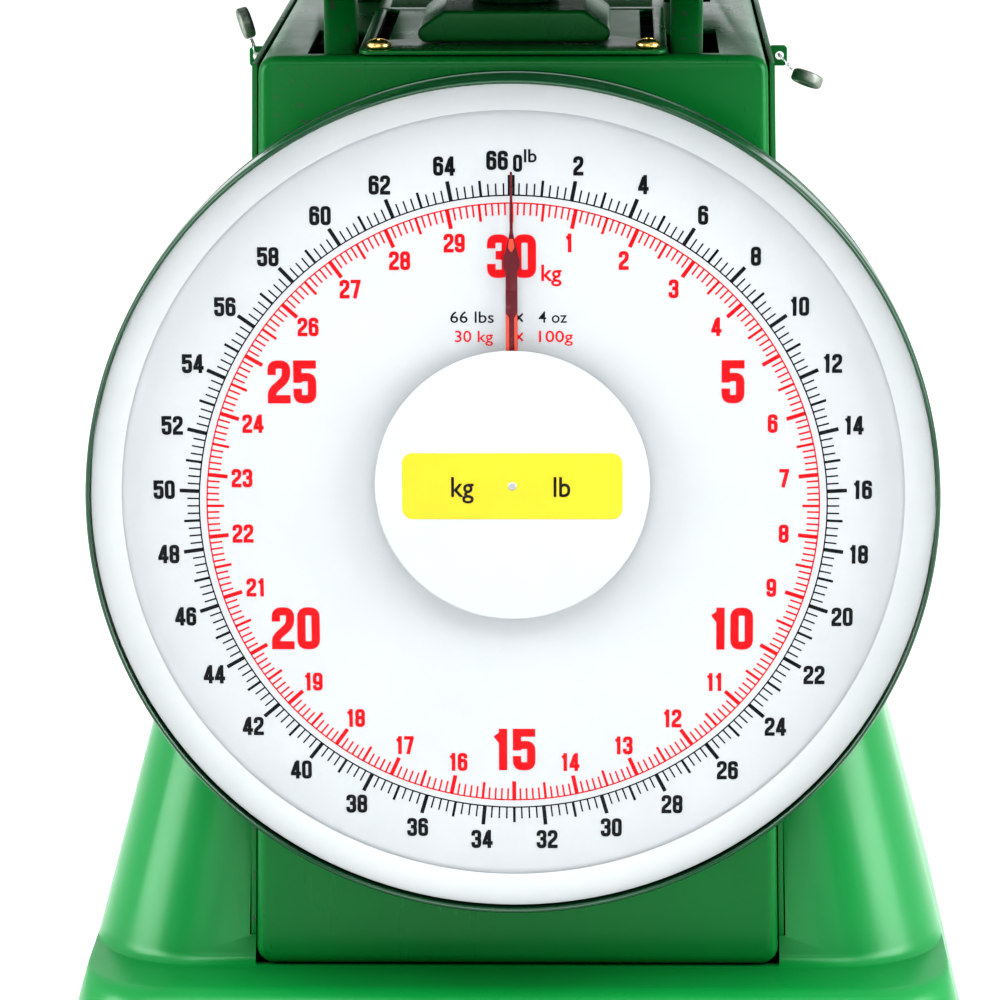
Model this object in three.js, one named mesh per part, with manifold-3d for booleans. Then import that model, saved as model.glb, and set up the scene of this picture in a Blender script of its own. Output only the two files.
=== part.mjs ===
// Mechanical dial platform scale: a spring scale with a round dial on the front of a sheet-steel column.
// Millimetres. +Z is up, the dial faces -Y, and the origin is under the middle of the whole scale.
import * as THREE from "three";
import { mergeVertices } from "three/addons/utils/BufferGeometryUtils.js";
import Module from "manifold-3d";

const wasm = await Module();
wasm.setup();

// ---------- driving dimensions ----------

const GAP = 0.4; // between pieces that touch
const SHEET = 1.5; // pressed steel

const BODY_Y = 4.5; // middle of the column, base and pan, front to back
const COLUMN_DEPTH = 190;
const COLUMN_FRONT = BODY_Y - COLUMN_DEPTH / 2;
const COLUMN_REAR = BODY_Y + COLUMN_DEPTH / 2;
const COLUMN_TOP = 315;
const COLUMN_HALF_TOP = 74; // half width of the column's side walls at the top
const COLUMN_TAPER = 5 / 270; // half width gained for each millimetre down
const HOUSING_SETBACK = 4.5; // the side walls start this far behind the front face

const LEDGE_Z = 45; // the step that the front cover stands on
const BASE_DEPTH = 242;
const BASE_HALF_X = 134; // at the hem
const BASE_SLOPE = 0.262; // side walls lean in by this much for each millimetre up
const SKIRT_TOP = 212;
const HEM_Z = 7;

const DIAL_Z = 193; // middle of the bezel
const AXIS_Z = DIAL_Z - 2.3; // the pointer's arbor, at the middle of the printed scales
const DIAL_FRONT = -125.5; // front of the bezel
const BEZEL_RADIUS = 120.3;
const GLASS_RADIUS = 119.2;
const DIAL_RADIUS = 111;
const PLATE_FRONT = DIAL_FRONT + 9.5; // face of the dial plate
const POINTER_FRONT = DIAL_FRONT + 6.3;
const POINTER_SHEET = 0.8;
const CENTRE_DISC_RADIUS = 38.7;
const CENTRE_DISC_Z = DIAL_Z + 3.8;

const TRAVEL = 13.2; // platform travel for one full turn of the pointer
const PINION_TEETH = 10;
const PINION_PITCH_RADIUS = TRAVEL / (2 * Math.PI);
const RACK_PITCH = TRAVEL / PINION_TEETH;

const POST_X = 49.2; // middle of a load post
const POST_WIDTH = 9.2;
const POST_DEPTH = 14;
const POST_FRONT = COLUMN_FRONT + 8;
const POST_REAR = 2 * BODY_Y - POST_FRONT;
const POST_TOP = 339.6;
const FRAME_BAR_Z = 132;
const FRAME_BAR_HEIGHT = 14;

const REAR_COVER_Z = [222, 302];

const PAN_SIZE = 240;
const PAN_TOP = 350;
const PAN_LIP = 10;

const LINK_X = 56; // inner face of a link's side bar
const LINK_REAR_Y = 66; // fixed pivot
const LINK_FRONT_Y = POST_FRONT + POST_DEPTH / 2; // pivot on the load frame
const LINK_HEIGHTS = { upper_link: 282, lower_link: 158 };
const PIVOT_RADIUS = 2.5;

const SLOT_X = 38.2; // spring slots in the top
const PLATE_TOP = COLUMN_TOP + 0.3 + 1.2;
const PLATE_HALF = 43.6;
const HOOD_HEIGHT = 9;
const KNOB_Y = COLUMN_FRONT + 43;

// ---------- materials ----------

const paint = (colour, roughness, metalness = 0) => new THREE.MeshStandardMaterial({
  color: colour,
  roughness,
  metalness,
});
const GREEN = paint(0x0b8a3a, 0.38);
const WHITE = paint(0xf4f6f8, 0.5);
const RED = paint(0x9c1420, 0.45);
const STEEL = paint(0xb4b8ba, 0.35, 0.9);
const DARK_STEEL = paint(0x55585a, 0.5, 0.8);
const BRASS = paint(0xc8a860, 0.3, 0.95);
const RUBBER = paint(0x1a1a1a, 0.85);
const GLASS = paint(0xeef4f6, 0.05);
const LEAD = paint(0x6e7264, 0.6, 0.6);
const KNOB = paint(0x08301a, 0.55);

// ---------- solids, cuts and joins ----------

function toSolid(geometry) {
  const bare = geometry.clone();
  bare.deleteAttribute("normal");
  bare.deleteAttribute("uv");
  const merged = mergeVertices(bare, 1e-4);
  return new wasm.Manifold(new wasm.Mesh({
    numProp: 3,
    vertProperties: new Float32Array(merged.attributes.position.array),
    triVerts: new Uint32Array(merged.index.array),
  }));
}

function toGeometry(solid) {
  const mesh = solid.getMesh();
  const geometry = new THREE.BufferGeometry();
  geometry.setAttribute("position", new THREE.BufferAttribute(new Float32Array(mesh.vertProperties), 3));
  geometry.setIndex(new THREE.BufferAttribute(new Uint32Array(mesh.triVerts), 1));
  geometry.computeVertexNormals();
  return geometry;
}

function cut(geometry, ...tools) {
  return toGeometry(tools.reduce((rest, tool) => rest.subtract(toSolid(tool)), toSolid(geometry)));
}

function join(geometry, ...others) {
  return toGeometry(others.reduce((rest, other) => rest.add(toSolid(other)), toSolid(geometry)));
}

// ---------- shapes ----------

function block(x0, x1, y0, y1, z0, z1) {
  const box = new THREE.BoxGeometry(x1 - x0, y1 - y0, z1 - z0);
  return box.translate((x0 + x1) / 2, (y0 + y1) / 2, (z0 + z1) / 2);
}

// A polygon with every corner rounded to the same radius.
function roundedShape(corners, radius) {
  const points = corners.map(([x, y]) => new THREE.Vector2(x, y));
  const shape = new THREE.Shape();
  points.forEach((corner, i) => {
    const before = points[(i + points.length - 1) % points.length];
    const after = points[(i + 1) % points.length];
    const start = corner.clone().add(before.clone().sub(corner).setLength(radius));
    const end = corner.clone().add(after.clone().sub(corner).setLength(radius));
    if (i === 0) shape.moveTo(start.x, start.y);
    else shape.lineTo(start.x, start.y);
    shape.quadraticCurveTo(corner.x, corner.y, end.x, end.y);
  });
  shape.closePath();
  return shape;
}

function rectangle(halfX, halfY, radius, centreY = 0) {
  const corners = [[-halfX, -halfY], [halfX, -halfY], [halfX, halfY], [-halfX, halfY]];
  return roundedShape(corners.map(([x, y]) => [x, y + centreY]), radius);
}

// A flat shape in X and Y, raised from z0 to z1, with an optional soft edge.
function slab(shape, z0, z1, edge = 0) {
  const geometry = new THREE.ExtrudeGeometry(shape, {
    depth: z1 - z0 - 2 * edge,
    curveSegments: 4,
    bevelEnabled: edge > 0,
    bevelThickness: edge,
    bevelSize: edge,
    bevelOffset: -edge,
    bevelSegments: 3,
  });
  return geometry.translate(0, 0, z0 + edge);
}

// A shape drawn in X and Z, given depth from y0 back to y1.
function frontSlab(shape, y0, y1, edge = 0) {
  return slab(shape, -y1, -y0, edge).rotateX(Math.PI / 2);
}

// A shape drawn in Y and Z, given width from x0 to x1.
function sideSlab(shape, x0, x1, edge = 0) {
  return slab(shape, x0, x1, edge).rotateZ(Math.PI / 2).rotateY(Math.PI / 2);
}

// A round piece turned about Y from [radius, y] points, listed either way round.
function turned(profile, segments) {
  const points = profile.map(([radius, y]) => new THREE.Vector2(radius, y));
  const anticlockwise = THREE.ShapeUtils.area(points) > 0;
  return new THREE.LatheGeometry(anticlockwise ? points : points.reverse(), segments);
}

function turnedAboutDial(profile, segments = 72) {
  return turned(profile, segments).translate(0, 0, DIAL_Z);
}

function rod(radius, from, to, segments = 16) {
  const start = new THREE.Vector3(...from);
  const line = new THREE.Vector3(...to).sub(start);
  const geometry = new THREE.CylinderGeometry(radius, radius, line.length(), segments);
  geometry.applyQuaternion(new THREE.Quaternion().setFromUnitVectors(
    new THREE.Vector3(0, 1, 0),
    line.clone().normalize(),
  ));
  const middle = start.addScaledVector(line, 0.5);
  return geometry.translate(middle.x, middle.y, middle.z);
}

function tube(points, radius, sides, steps) {
  const section = new THREE.Shape();
  for (let i = 0; i < sides; i += 1) {
    const angle = (2 * Math.PI * i) / sides;
    const corner = [radius * Math.cos(angle), radius * Math.sin(angle)];
    if (i === 0) section.moveTo(...corner);
    else section.lineTo(...corner);
  }
  section.closePath();
  const route = new THREE.CatmullRomCurve3(points.map((point) => new THREE.Vector3(...point)));
  return new THREE.ExtrudeGeometry(section, { extrudePath: route, steps, bevelEnabled: false });
}

// ---------- column ----------

const columnHalf = (z) => COLUMN_HALF_TOP + (COLUMN_TOP - z) * COLUMN_TAPER;

// The column's outline from the front, drawn in X and Z and moved in by inset.
function columnOutline(inset, bottom, top, radius) {
  const low = columnHalf(bottom) - inset;
  const high = columnHalf(top) - inset;
  return roundedShape([[-low, bottom], [low, bottom], [high, top], [-high, top]], radius);
}

const postSlot = (side, frontY, backY) => {
  const inner = side * (POST_X - POST_WIDTH / 2 - 0.6);
  const outer = side * (POST_X + POST_WIDTH / 2 + 4.6);
  return block(Math.min(inner, outer), Math.max(inner, outer), frontY, backY, 300, 330);
};

const postNotch = (side, y) => {
  const inner = side * (POST_X - POST_WIDTH / 2 - 3.8);
  const outer = side * (POST_X - POST_WIDTH / 2);
  return block(Math.min(inner, outer), Math.max(inner, outer), y, y + 16, 300, 330);
};

function topSlots() {
  const slotLength = 54;
  const front = POST_FRONT - 1.5;
  const rear = 2 * BODY_Y - front;
  return [-1, 1].flatMap((side) => [
    postSlot(side, front, front + slotLength),
    postSlot(side, rear - slotLength, rear),
    postNotch(side, front + 14),
    postNotch(side, rear - 30),
    springSlot(side),
  ]);
}

function springSlot(side) {
  const shape = roundedShape([[-1.9, -36], [1.9, -36], [1.9, 36], [-1.9, 36]], 1.8);
  return slab(shape, 300, 330).translate(side * SLOT_X, COLUMN_FRONT + 61.5, 0);
}

function frontCover() {
  const inset = SHEET + GAP;
  const bottom = LEDGE_Z + GAP;
  const rear = COLUMN_REAR - SHEET - GAP;
  const outside = frontSlab(columnOutline(inset, bottom, COLUMN_TOP, 5), COLUMN_FRONT, rear + 8, 3);
  const inside = frontSlab(
    columnOutline(inset + SHEET, bottom - 20, COLUMN_TOP - SHEET, 4),
    COLUMN_FRONT + SHEET,
    rear + 20,
  );
  const behind = block(-90, 90, COLUMN_FRONT + 14, rear + 20, 0, COLUMN_TOP - 8);
  const tail = block(-90, 90, rear, rear + 20, 0, 400);
  const dialHole = rod(30, [0, COLUMN_FRONT - 5, AXIS_Z], [0, COLUMN_FRONT + 5, AXIS_Z], 32);
  return cut(outside, inside, behind, tail, dialHole, ...topSlots());
}

function columnHousing() {
  const front = COLUMN_FRONT + HOUSING_SETBACK;
  const bottom = 12;
  const top = COLUMN_TOP - 2.6;
  const outside = frontSlab(columnOutline(0, bottom, top + 10, 6), front - 8, COLUMN_REAR, 4);
  const inside = frontSlab(columnOutline(SHEET, bottom - 20, top + 30, 0.5), front - 20, COLUMN_REAR - SHEET);
  const ahead = block(-90, 90, front - 20, front, 0, 400);
  const above = block(-90, 90, front - 20, COLUMN_REAR + 20, top, 400);
  return cut(outside, inside, ahead, above);
}

function rearCover() {
  const [low, high] = REAR_COVER_Z;
  const shape = roundedShape([[-52, low], [52, low], [52, high], [-52, high]], 8);
  return frontSlab(shape, COLUMN_REAR + 0.3, COLUMN_REAR + 2.1, 0.5);
}

function panHeadScrew(radius, height) {
  const profile = [[0, 0], [radius, 0], [radius, height * 0.45], [radius * 0.75, height * 0.9], [0, height]];
  const head = turned(profile, 16).rotateX(Math.PI / 2);
  const slot = radius * 0.55;
  const crossA = block(-slot, slot, -0.5, 0.5, height * 0.6, height * 2);
  const crossB = block(-0.5, 0.5, -slot, slot, height * 0.6, height * 2);
  return cut(head, crossA, crossB);
}

function rearCoverScrew(x, z) {
  return panHeadScrew(3.6, 2).rotateX(-Math.PI / 2).translate(x, COLUMN_REAR + 2.4, z);
}

// ---------- base ----------

const skirtHalfX = (z) => (z < 20 ? BASE_HALF_X : BASE_HALF_X - (z - 20) * BASE_SLOPE);

// One ring of points around a rounded rectangle whose sides are at x = +-halfX and y = front, rear.
function ringAt(z, halfX, front, rear, radius) {
  const steps = 5;
  const centres = [
    [halfX - radius, rear - radius, 0],
    [-halfX + radius, rear - radius, 1],
    [-halfX + radius, front + radius, 2],
    [halfX - radius, front + radius, 3],
  ];
  return centres.flatMap(([x, y, quarter]) => Array.from({ length: steps + 1 }, (_, i) => {
    const angle = ((quarter + i / steps) * Math.PI) / 2;
    return [x + radius * Math.cos(angle), y + radius * Math.sin(angle), z];
  }));
}

// A closed solid through a stack of rings that all have the same number of points.
function stack(rings) {
  const count = rings[0].length;
  const positions = rings.flat(2);
  const index = [];
  for (let level = 0; level < rings.length - 1; level += 1) {
    for (let i = 0; i < count; i += 1) {
      const a = level * count + i;
      const b = level * count + ((i + 1) % count);
      index.push(a, b, b + count, a, b + count, a + count);
    }
  }
  [0, rings.length - 1].forEach((level) => {
    const ring = rings[level];
    const centre = [0, 1, 2].map((axis) => ring.reduce((sum, point) => sum + point[axis], 0) / count);
    const middle = positions.length / 3;
    positions.push(...centre);
    for (let i = 0; i < count; i += 1) {
      const a = level * count + i;
      const b = level * count + ((i + 1) % count);
      if (level === 0) index.push(middle, b, a);
      else index.push(middle, a, b);
    }
  });
  const geometry = new THREE.BufferGeometry();
  geometry.setAttribute("position", new THREE.Float32BufferAttribute(positions, 3));
  geometry.setIndex(index);
  return geometry;
}

// The skirt's outside, moved in by inset: a hem, a front step rounded into a ledge, and leaning walls.
function skirtRings(inset, bottom) {
  const front = BODY_Y - BASE_DEPTH / 2 + inset;
  const rear = BODY_Y + BASE_DEPTH / 2 - inset;
  const round = 9;
  const ledge = LEDGE_Z - inset;
  const wallFront = COLUMN_FRONT + 3 + inset;
  const fillet = 4;
  const corner = 24 - inset;
  const wallCorner = corner + 10;
  const lean = 38;
  const rearAt = (z) => rear - (z - 20) * 0.1;
  const rings = [
    ringAt(bottom, skirtHalfX(0) - inset, front, rear, corner),
    ringAt(20, skirtHalfX(20) - inset, front, rear, corner),
    ringAt(ledge - round, skirtHalfX(ledge - round) - inset, front, rearAt(ledge - round), corner),
  ];
  [30, 60, 90].forEach((degrees) => {
    const angle = (degrees * Math.PI) / 180;
    const z = ledge - round * (1 - Math.sin(angle));
    const y = front + round * (1 - Math.cos(angle));
    rings.push(ringAt(z, skirtHalfX(z) - inset, y, rearAt(z), corner));
  });
  [0, 30, 60, 90].forEach((degrees) => {
    const angle = (degrees * Math.PI) / 180;
    const z = ledge + fillet * (1 - Math.cos(angle)) + 0.01;
    const y = wallFront - fillet * (1 - Math.sin(angle));
    rings.push(ringAt(z, skirtHalfX(z) - inset, y, rearAt(z), wallCorner));
  });
  const top = SKIRT_TOP - inset;
  const shoulder = 8;
  [0, 30, 60, 90].forEach((degrees) => {
    const angle = (degrees * Math.PI) / 180;
    const z = top - shoulder * (1 - Math.sin(angle));
    const pull = shoulder * (1 - Math.cos(angle));
    const half = skirtHalfX(z) - inset - pull;
    rings.push(ringAt(z, half, wallFront + lean + pull, rearAt(z) - pull, wallCorner - pull));
  });
  return rings;
}

function baseSkirt() {
  const outside = stack(skirtRings(0, HEM_Z));
  const inside = stack(skirtRings(SHEET, HEM_Z - 10));
  const room = frontSlab(
    columnOutline(-GAP, 5, 400, 0.5),
    COLUMN_FRONT + HOUSING_SETBACK - GAP,
    COLUMN_REAR + GAP,
  );
  const frontRoom = frontSlab(
    columnOutline(SHEET, LEDGE_Z + 0.15, 400, 0.5),
    COLUMN_FRONT - 30,
    COLUMN_FRONT + HOUSING_SETBACK,
  );
  return cut(outside, inside, room, frontRoom);
}

function basePlate() {
  const inset = SHEET + GAP;
  const shape = rectangle(BASE_HALF_X - inset, BASE_DEPTH / 2 - inset, 30, BODY_Y);
  return slab(shape, HEM_Z + 1, HEM_Z + 2.5);
}

function foot(x, y) {
  const profile = [[0, 0], [11, 0], [12.5, 1.2], [11, HEM_Z + 0.7], [0, HEM_Z + 0.7]];
  return turned(profile, 24).rotateX(Math.PI / 2).translate(x, y, 0);
}

// ---------- dial ----------

function dialDrum() {
  const back = COLUMN_FRONT - GAP;
  const front = DIAL_FRONT + 6.2;
  return turnedAboutDial([
    [10, back],
    [112, back],
    [119.1, back - 7],
    [119.1, front],
    [117.9, front],
    [117.9, back - 7],
    [111.4, back - 1.2],
    [10, back - 1.2],
    [10, back],
  ]);
}

function bezelRing() {
  const front = DIAL_FRONT;
  return turnedAboutDial([
    [BEZEL_RADIUS, front + 10],
    [BEZEL_RADIUS, front + 2],
    [BEZEL_RADIUS - 0.3, front + 0.7],
    [BEZEL_RADIUS - 0.8, front],
    [BEZEL_RADIUS - 1.4, front + 0.5],
    [BEZEL_RADIUS - 1.4, front + 1.2],
    [BEZEL_RADIUS - 0.8, front + 1.9],
    [BEZEL_RADIUS - 0.8, front + 10],
    [BEZEL_RADIUS, front + 10],
  ]);
}

function dialGlass() {
  const edge = DIAL_FRONT + 2.5;
  const dome = 1.8;
  const outside = [];
  const inside = [];
  const bands = 3;
  for (let i = 0; i <= bands; i += 1) {
    const part = i / bands;
    outside.push([GLASS_RADIUS * part, edge - dome * (1 - part * part)]);
    inside.unshift([GLASS_RADIUS * part, edge + 2 - dome * (1 - part * part)]);
  }
  return turnedAboutDial([...outside, ...inside]);
}

// A white cone from the glass back to the face of the dial plate.
function dialSurround() {
  const back = PLATE_FRONT - 0.6;
  const front = DIAL_FRONT + 4.8;
  return turnedAboutDial([
    [DIAL_RADIUS + 0.4, back],
    [118.9, front],
    [118.2, front],
    [DIAL_RADIUS - 0.4, back - 0.9],
    [DIAL_RADIUS + 0.4, back],
  ]);
}

function dialPlate() {
  const disc = turnedAboutDial([
    [0, PLATE_FRONT + 1],
    [DIAL_RADIUS, PLATE_FRONT + 1],
    [DIAL_RADIUS, PLATE_FRONT],
    [0, PLATE_FRONT],
  ]);
  return cut(disc, rod(8, [0, PLATE_FRONT - 5, AXIS_Z], [0, PLATE_FRONT + 5, AXIS_Z], 24));
}

// Held to the inside of the glass, a little above the arbor.
function centreDisc() {
  const front = DIAL_FRONT + 3.3;
  const r = CENTRE_DISC_RADIUS;
  const profile = [[0, front + 1], [r, front + 1], [r, front + 0.3], [r - 0.8, front], [0, front]];
  return turned(profile, 48).translate(0, 0, CENTRE_DISC_Z);
}

// Half of the blade's outline, from its wide tail to its tip: half width and height over the arbor.
const BLADE_HALF = [
  [6, -30],
  [6, -12],
  [1.65, -6],
  [1.65, 67.4],
  [2.4, 69.6],
  [2.4, 70.8],
  [1, 76],
  [0.45, 79],
  [0.3, 95.8],
];

function pointerBlade() {
  const shape = new THREE.Shape();
  shape.moveTo(-BLADE_HALF[0][0], BLADE_HALF[0][1]);
  BLADE_HALF.forEach(([x, z]) => shape.lineTo(x, z));
  [...BLADE_HALF].reverse().forEach(([x, z]) => shape.lineTo(-x, z));
  const blade = frontSlab(shape, 0, POINTER_SHEET);
  const boss = rod(5, [0, 0, 0], [0, POINTER_SHEET, 0], 24);
  const bore = rod(1.8, [0, -5, 0], [0, 5, 0], 16);
  return cut(join(blade, boss), bore).translate(0, POINTER_FRONT, AXIS_Z);
}

function pointerHub() {
  const front = POINTER_FRONT + POINTER_SHEET + GAP;
  const profile = [[1.8, front + 9], [1.8, front], [4.5, front], [6, front + 2], [6, front + 9], [1.8, front + 9]];
  return turned(profile, 24).translate(0, 0, AXIS_Z);
}

// ---------- movement ----------

const PINION_Y = -57.5;
const PINION_WIDTH = 6;
const MOVEMENT_FRONT = -70;
const MOVEMENT_REAR = -44;
const PILLAR_RADIUS = 2.6;
const PILLARS = [
  ["upper_left", -22, 22],
  ["upper_right", 22, 22],
  ["lower_left", -22, -21],
  ["lower_right", 22, -21],
];

function pinionArbor() {
  const shape = new THREE.Shape();
  const root = 1.55;
  const tip = PINION_PITCH_RADIUS + 0.35;
  for (let tooth = 0; tooth < PINION_TEETH; tooth += 1) {
    const middle = ((tooth + 0.5) * 2 * Math.PI) / PINION_TEETH;
    [[root, -0.2], [tip, -0.055], [tip, 0.055], [root, 0.2]].forEach(([radius, turn], i) => {
      const angle = middle + turn;
      const point = [radius * Math.cos(angle), radius * Math.sin(angle)];
      if (tooth === 0 && i === 0) shape.moveTo(...point);
      else shape.lineTo(...point);
    });
  }
  shape.closePath();
  const gear = frontSlab(shape, PINION_Y, PINION_Y + PINION_WIDTH);
  const arbor = rod(1.5, [0, DIAL_FRONT + 4.6, 0], [0, MOVEMENT_REAR + 4, 0], 16);
  return join(gear, arbor).translate(0, 0, AXIS_Z);
}

function rack() {
  const front = PINION_Y + 1.5;
  const back = 2.75;
  const reach = PINION_PITCH_RADIUS - 0.25;
  const shape = new THREE.Shape();
  shape.moveTo(6.2, AXIS_Z - 8);
  shape.lineTo(6.2, 265.6);
  shape.lineTo(back, 265.6);
  const teeth = 20;
  for (let i = teeth - 1; i >= 0; i -= 1) {
    const z = AXIS_Z + (i - 5) * RACK_PITCH;
    shape.lineTo(back, z + 0.3);
    shape.lineTo(reach, z + 0.14);
    shape.lineTo(reach, z - 0.14);
    shape.lineTo(back, z - 0.3);
  }
  shape.lineTo(back, AXIS_Z - 8);
  shape.closePath();
  return frontSlab(shape, front, front + 3);
}

function rackBeam() {
  const half = POST_X - POST_WIDTH / 2 - GAP;
  const bar = block(-half, half, POST_FRONT + 2, POST_FRONT + 10, 266, 274);
  const tongue = block(-3, 11, POST_FRONT + 8, PINION_Y + 7, 266, 270);
  return join(bar, tongue);
}

// The front plate sits on the pillars, which pass through it, and the rear plate closes them off.
function movementPlate(y, pillarRadius) {
  const shape = roundedShape([[-27, -26], [27, -26], [27, 28], [-27, 28]], 5);
  const plate = frontSlab(shape, y, y + 2);
  const bearing = rod(1.85, [0, y - 5, 0], [0, y + 5, 0], 16);
  const hole = ([, x, z]) => rod(pillarRadius, [x, y - 5, z], [x, y + 5, z], 10);
  const holes = pillarRadius > 0 ? PILLARS.map(hole) : [];
  return cut(plate, bearing, ...holes).translate(0, 0, AXIS_Z);
}

function pillar(x, z) {
  const front = COLUMN_FRONT + SHEET + 0.3;
  return rod(PILLAR_RADIUS, [x, front, z], [x, MOVEMENT_REAR - 0.3, z], 10).translate(0, 0, AXIS_Z);
}

// ---------- load frame, springs and links ----------

function sideFrame(side) {
  const rear = POST_REAR;
  const inner = POST_DEPTH;
  const shape = new THREE.Shape();
  shape.moveTo(POST_FRONT, FRAME_BAR_Z);
  shape.lineTo(rear, FRAME_BAR_Z);
  shape.lineTo(rear, POST_TOP);
  shape.lineTo(rear - inner, POST_TOP);
  shape.lineTo(rear - inner, FRAME_BAR_Z + FRAME_BAR_HEIGHT);
  shape.lineTo(POST_FRONT + inner, FRAME_BAR_Z + FRAME_BAR_HEIGHT);
  shape.lineTo(POST_FRONT + inner, POST_TOP);
  shape.lineTo(POST_FRONT, POST_TOP);
  shape.closePath();
  const middle = side * POST_X;
  const frame = sideSlab(shape, middle - POST_WIDTH / 2, middle + POST_WIDTH / 2, 1.5);
  const studs = Object.values(LINK_HEIGHTS).map((z) => rod(
    PIVOT_RADIUS,
    [side * (POST_X + 2), LINK_FRONT_Y, z],
    [side * (LINK_X + 5), LINK_FRONT_Y, z],
  ));
  return join(frame, ...studs);
}

function link(z) {
  const bar = (side) => {
    const shape = new THREE.Shape();
    const end = 6;
    shape.absarc(LINK_FRONT_Y, z, end, Math.PI / 2, (3 * Math.PI) / 2);
    shape.absarc(LINK_REAR_Y, z, end, -Math.PI / 2, Math.PI / 2);
    shape.closePath();
    const inner = side * LINK_X;
    const outer = side * (LINK_X + 2.5);
    return sideSlab(shape, Math.min(inner, outer), Math.max(inner, outer));
  };
  const sleeve = rod(5, [-LINK_X - 1, LINK_REAR_Y, z], [LINK_X + 1, LINK_REAR_Y, z]);
  const bore = rod(PIVOT_RADIUS + 0.3, [-80, LINK_REAR_Y, z], [80, LINK_REAR_Y, z]);
  const eye = rod(PIVOT_RADIUS + 1.3, [-80, LINK_FRONT_Y, z], [80, LINK_FRONT_Y, z]);
  return cut(join(bar(-1), bar(1), sleeve), bore, eye);
}

function pivotBracket(side) {
  const x = side * 62.5;
  const shape = roundedShape([[54, 142], [82, 142], [82, 300], [54, 300]], 5);
  const plate = sideSlab(shape, Math.min(x, x + side * 2), Math.max(x, x + side * 2));
  const holes = Object.values(LINK_HEIGHTS).map((z) => rod(
    PIVOT_RADIUS + 0.3,
    [side * 50, LINK_REAR_Y, z],
    [side * 80, LINK_REAR_Y, z],
  ));
  return cut(plate, ...holes);
}

const SPRING_X = 34.8;
const SPRING_Y = -13;
const SPRING_TOP = 298;
const SPRING_BOTTOM = 147;

function mainSpring(side) {
  const turns = 11;
  const radius = 7.4;
  const perTurn = 8;
  const points = [];
  for (let i = 0; i <= turns * perTurn; i += 1) {
    const angle = (2 * Math.PI * i) / perTurn;
    const z = SPRING_BOTTOM + 1.5 + ((SPRING_TOP - SPRING_BOTTOM - 3) * i) / (turns * perTurn);
    points.push([side * SPRING_X + radius * Math.cos(angle), SPRING_Y + radius * Math.sin(angle), z]);
  }
  return tube(points, 1.1, 6, turns * perTurn);
}

function lowerCrossbar() {
  const half = POST_X - POST_WIDTH / 2 - GAP;
  return block(-half, half, SPRING_Y - 8, SPRING_Y + 8, 135, 146);
}

function springHanger() {
  const half = 43.6;
  const beam = block(-half, half, SPRING_Y - 8, SPRING_Y + 8, SPRING_TOP + 0.6, SPRING_TOP + 4);
  const web = block(-half, half, SPRING_Y + 6, SPRING_Y + 8, SPRING_TOP + 0.6, COLUMN_TOP - SHEET - GAP);
  return join(beam, web);
}

// ---------- top and pan ----------

function hangerPlate() {
  const front = COLUMN_FRONT + 0.8;
  const rear = 14;
  const corners = [[-PLATE_HALF, front], [PLATE_HALF, front], [PLATE_HALF, rear], [-PLATE_HALF, rear]];
  const plate = slab(roundedShape(corners, 4), COLUMN_TOP + 0.3, PLATE_TOP);
  return cut(plate, springSlot(-1), springSlot(1));
}

function rackHood() {
  const z0 = PLATE_TOP + 0.3;
  const z1 = z0 + HOOD_HEIGHT;
  const front = COLUMN_FRONT + 17;
  const outline = (inset, bottom) => roundedShape([
    [-33 + inset, bottom],
    [33 - inset, bottom],
    [20 - inset * 0.6, z1 - inset],
    [-20 + inset * 0.6, z1 - inset],
  ], 2.5 - inset);
  const outside = frontSlab(outline(0, z0), front, front + 58);
  const inside = frontSlab(outline(1.4, z0 - 3), front + 1.4, front + 56.6);
  return cut(outside, inside);
}

function zeroKnob() {
  const ridges = 18;
  const shape = new THREE.Shape();
  for (let i = 0; i < ridges * 2; i += 1) {
    const angle = (Math.PI * i) / ridges;
    const radius = i % 2 === 0 ? 13 : 12.1;
    if (i === 0) shape.moveTo(radius * Math.cos(angle), radius * Math.sin(angle));
    else shape.lineTo(radius * Math.cos(angle), radius * Math.sin(angle));
  }
  shape.closePath();
  const z0 = PLATE_TOP + 0.3 + HOOD_HEIGHT + 0.3;
  return slab(shape, z0, z0 + 7).translate(0, KNOB_Y, 0);
}

function hangerScrew(side) {
  return panHeadScrew(3.5, 2.6).translate(side * SLOT_X, COLUMN_FRONT + 6, PLATE_TOP + 0.3);
}

function panSpider() {
  const z0 = POST_TOP + GAP;
  const outer = rectangle(POST_X + 11, (POST_REAR - POST_FRONT) / 2 + 6, 8, BODY_Y);
  const plate = slab(outer, z0, z0 + 4);
  const window = slab(rectangle(POST_X - 11, (POST_REAR - POST_FRONT) / 2 - 19, 8, BODY_Y), z0 - 5, z0 + 9);
  return cut(plate, window);
}

function weighingPan() {
  const half = PAN_SIZE / 2;
  const outside = slab(rectangle(half, half, 16, BODY_Y), PAN_TOP - PAN_LIP - 10, PAN_TOP, 3);
  const inside = slab(rectangle(half - SHEET, half - SHEET, 14.5, BODY_Y), PAN_TOP - PAN_LIP - 20, PAN_TOP - SHEET, 2);
  const below = block(-200, 200, -200, 200, 300, PAN_TOP - PAN_LIP);
  return cut(outside, inside, below);
}

function panPad(x, y) {
  return rod(8, [x, y, POST_TOP + GAP + 4.4], [x, y, PAN_TOP - SHEET - GAP], 16);
}

// ---------- lead seals ----------

const SEAL_Y = -20;
const SEAL_Z = 306;

function sealTab(side) {
  const wall = columnHalf(SEAL_Z) + GAP;
  const x0 = side * wall;
  const x1 = side * (wall + 5.4);
  const tab = block(Math.min(x0, x1), Math.max(x0, x1), SEAL_Y - 0.7, SEAL_Y + 0.7, SEAL_Z - 3, SEAL_Z + 3);
  const eye = side * (wall + 3.2);
  return cut(tab, rod(1.3, [eye, SEAL_Y - 5, SEAL_Z], [eye, SEAL_Y + 5, SEAL_Z], 12));
}

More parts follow.
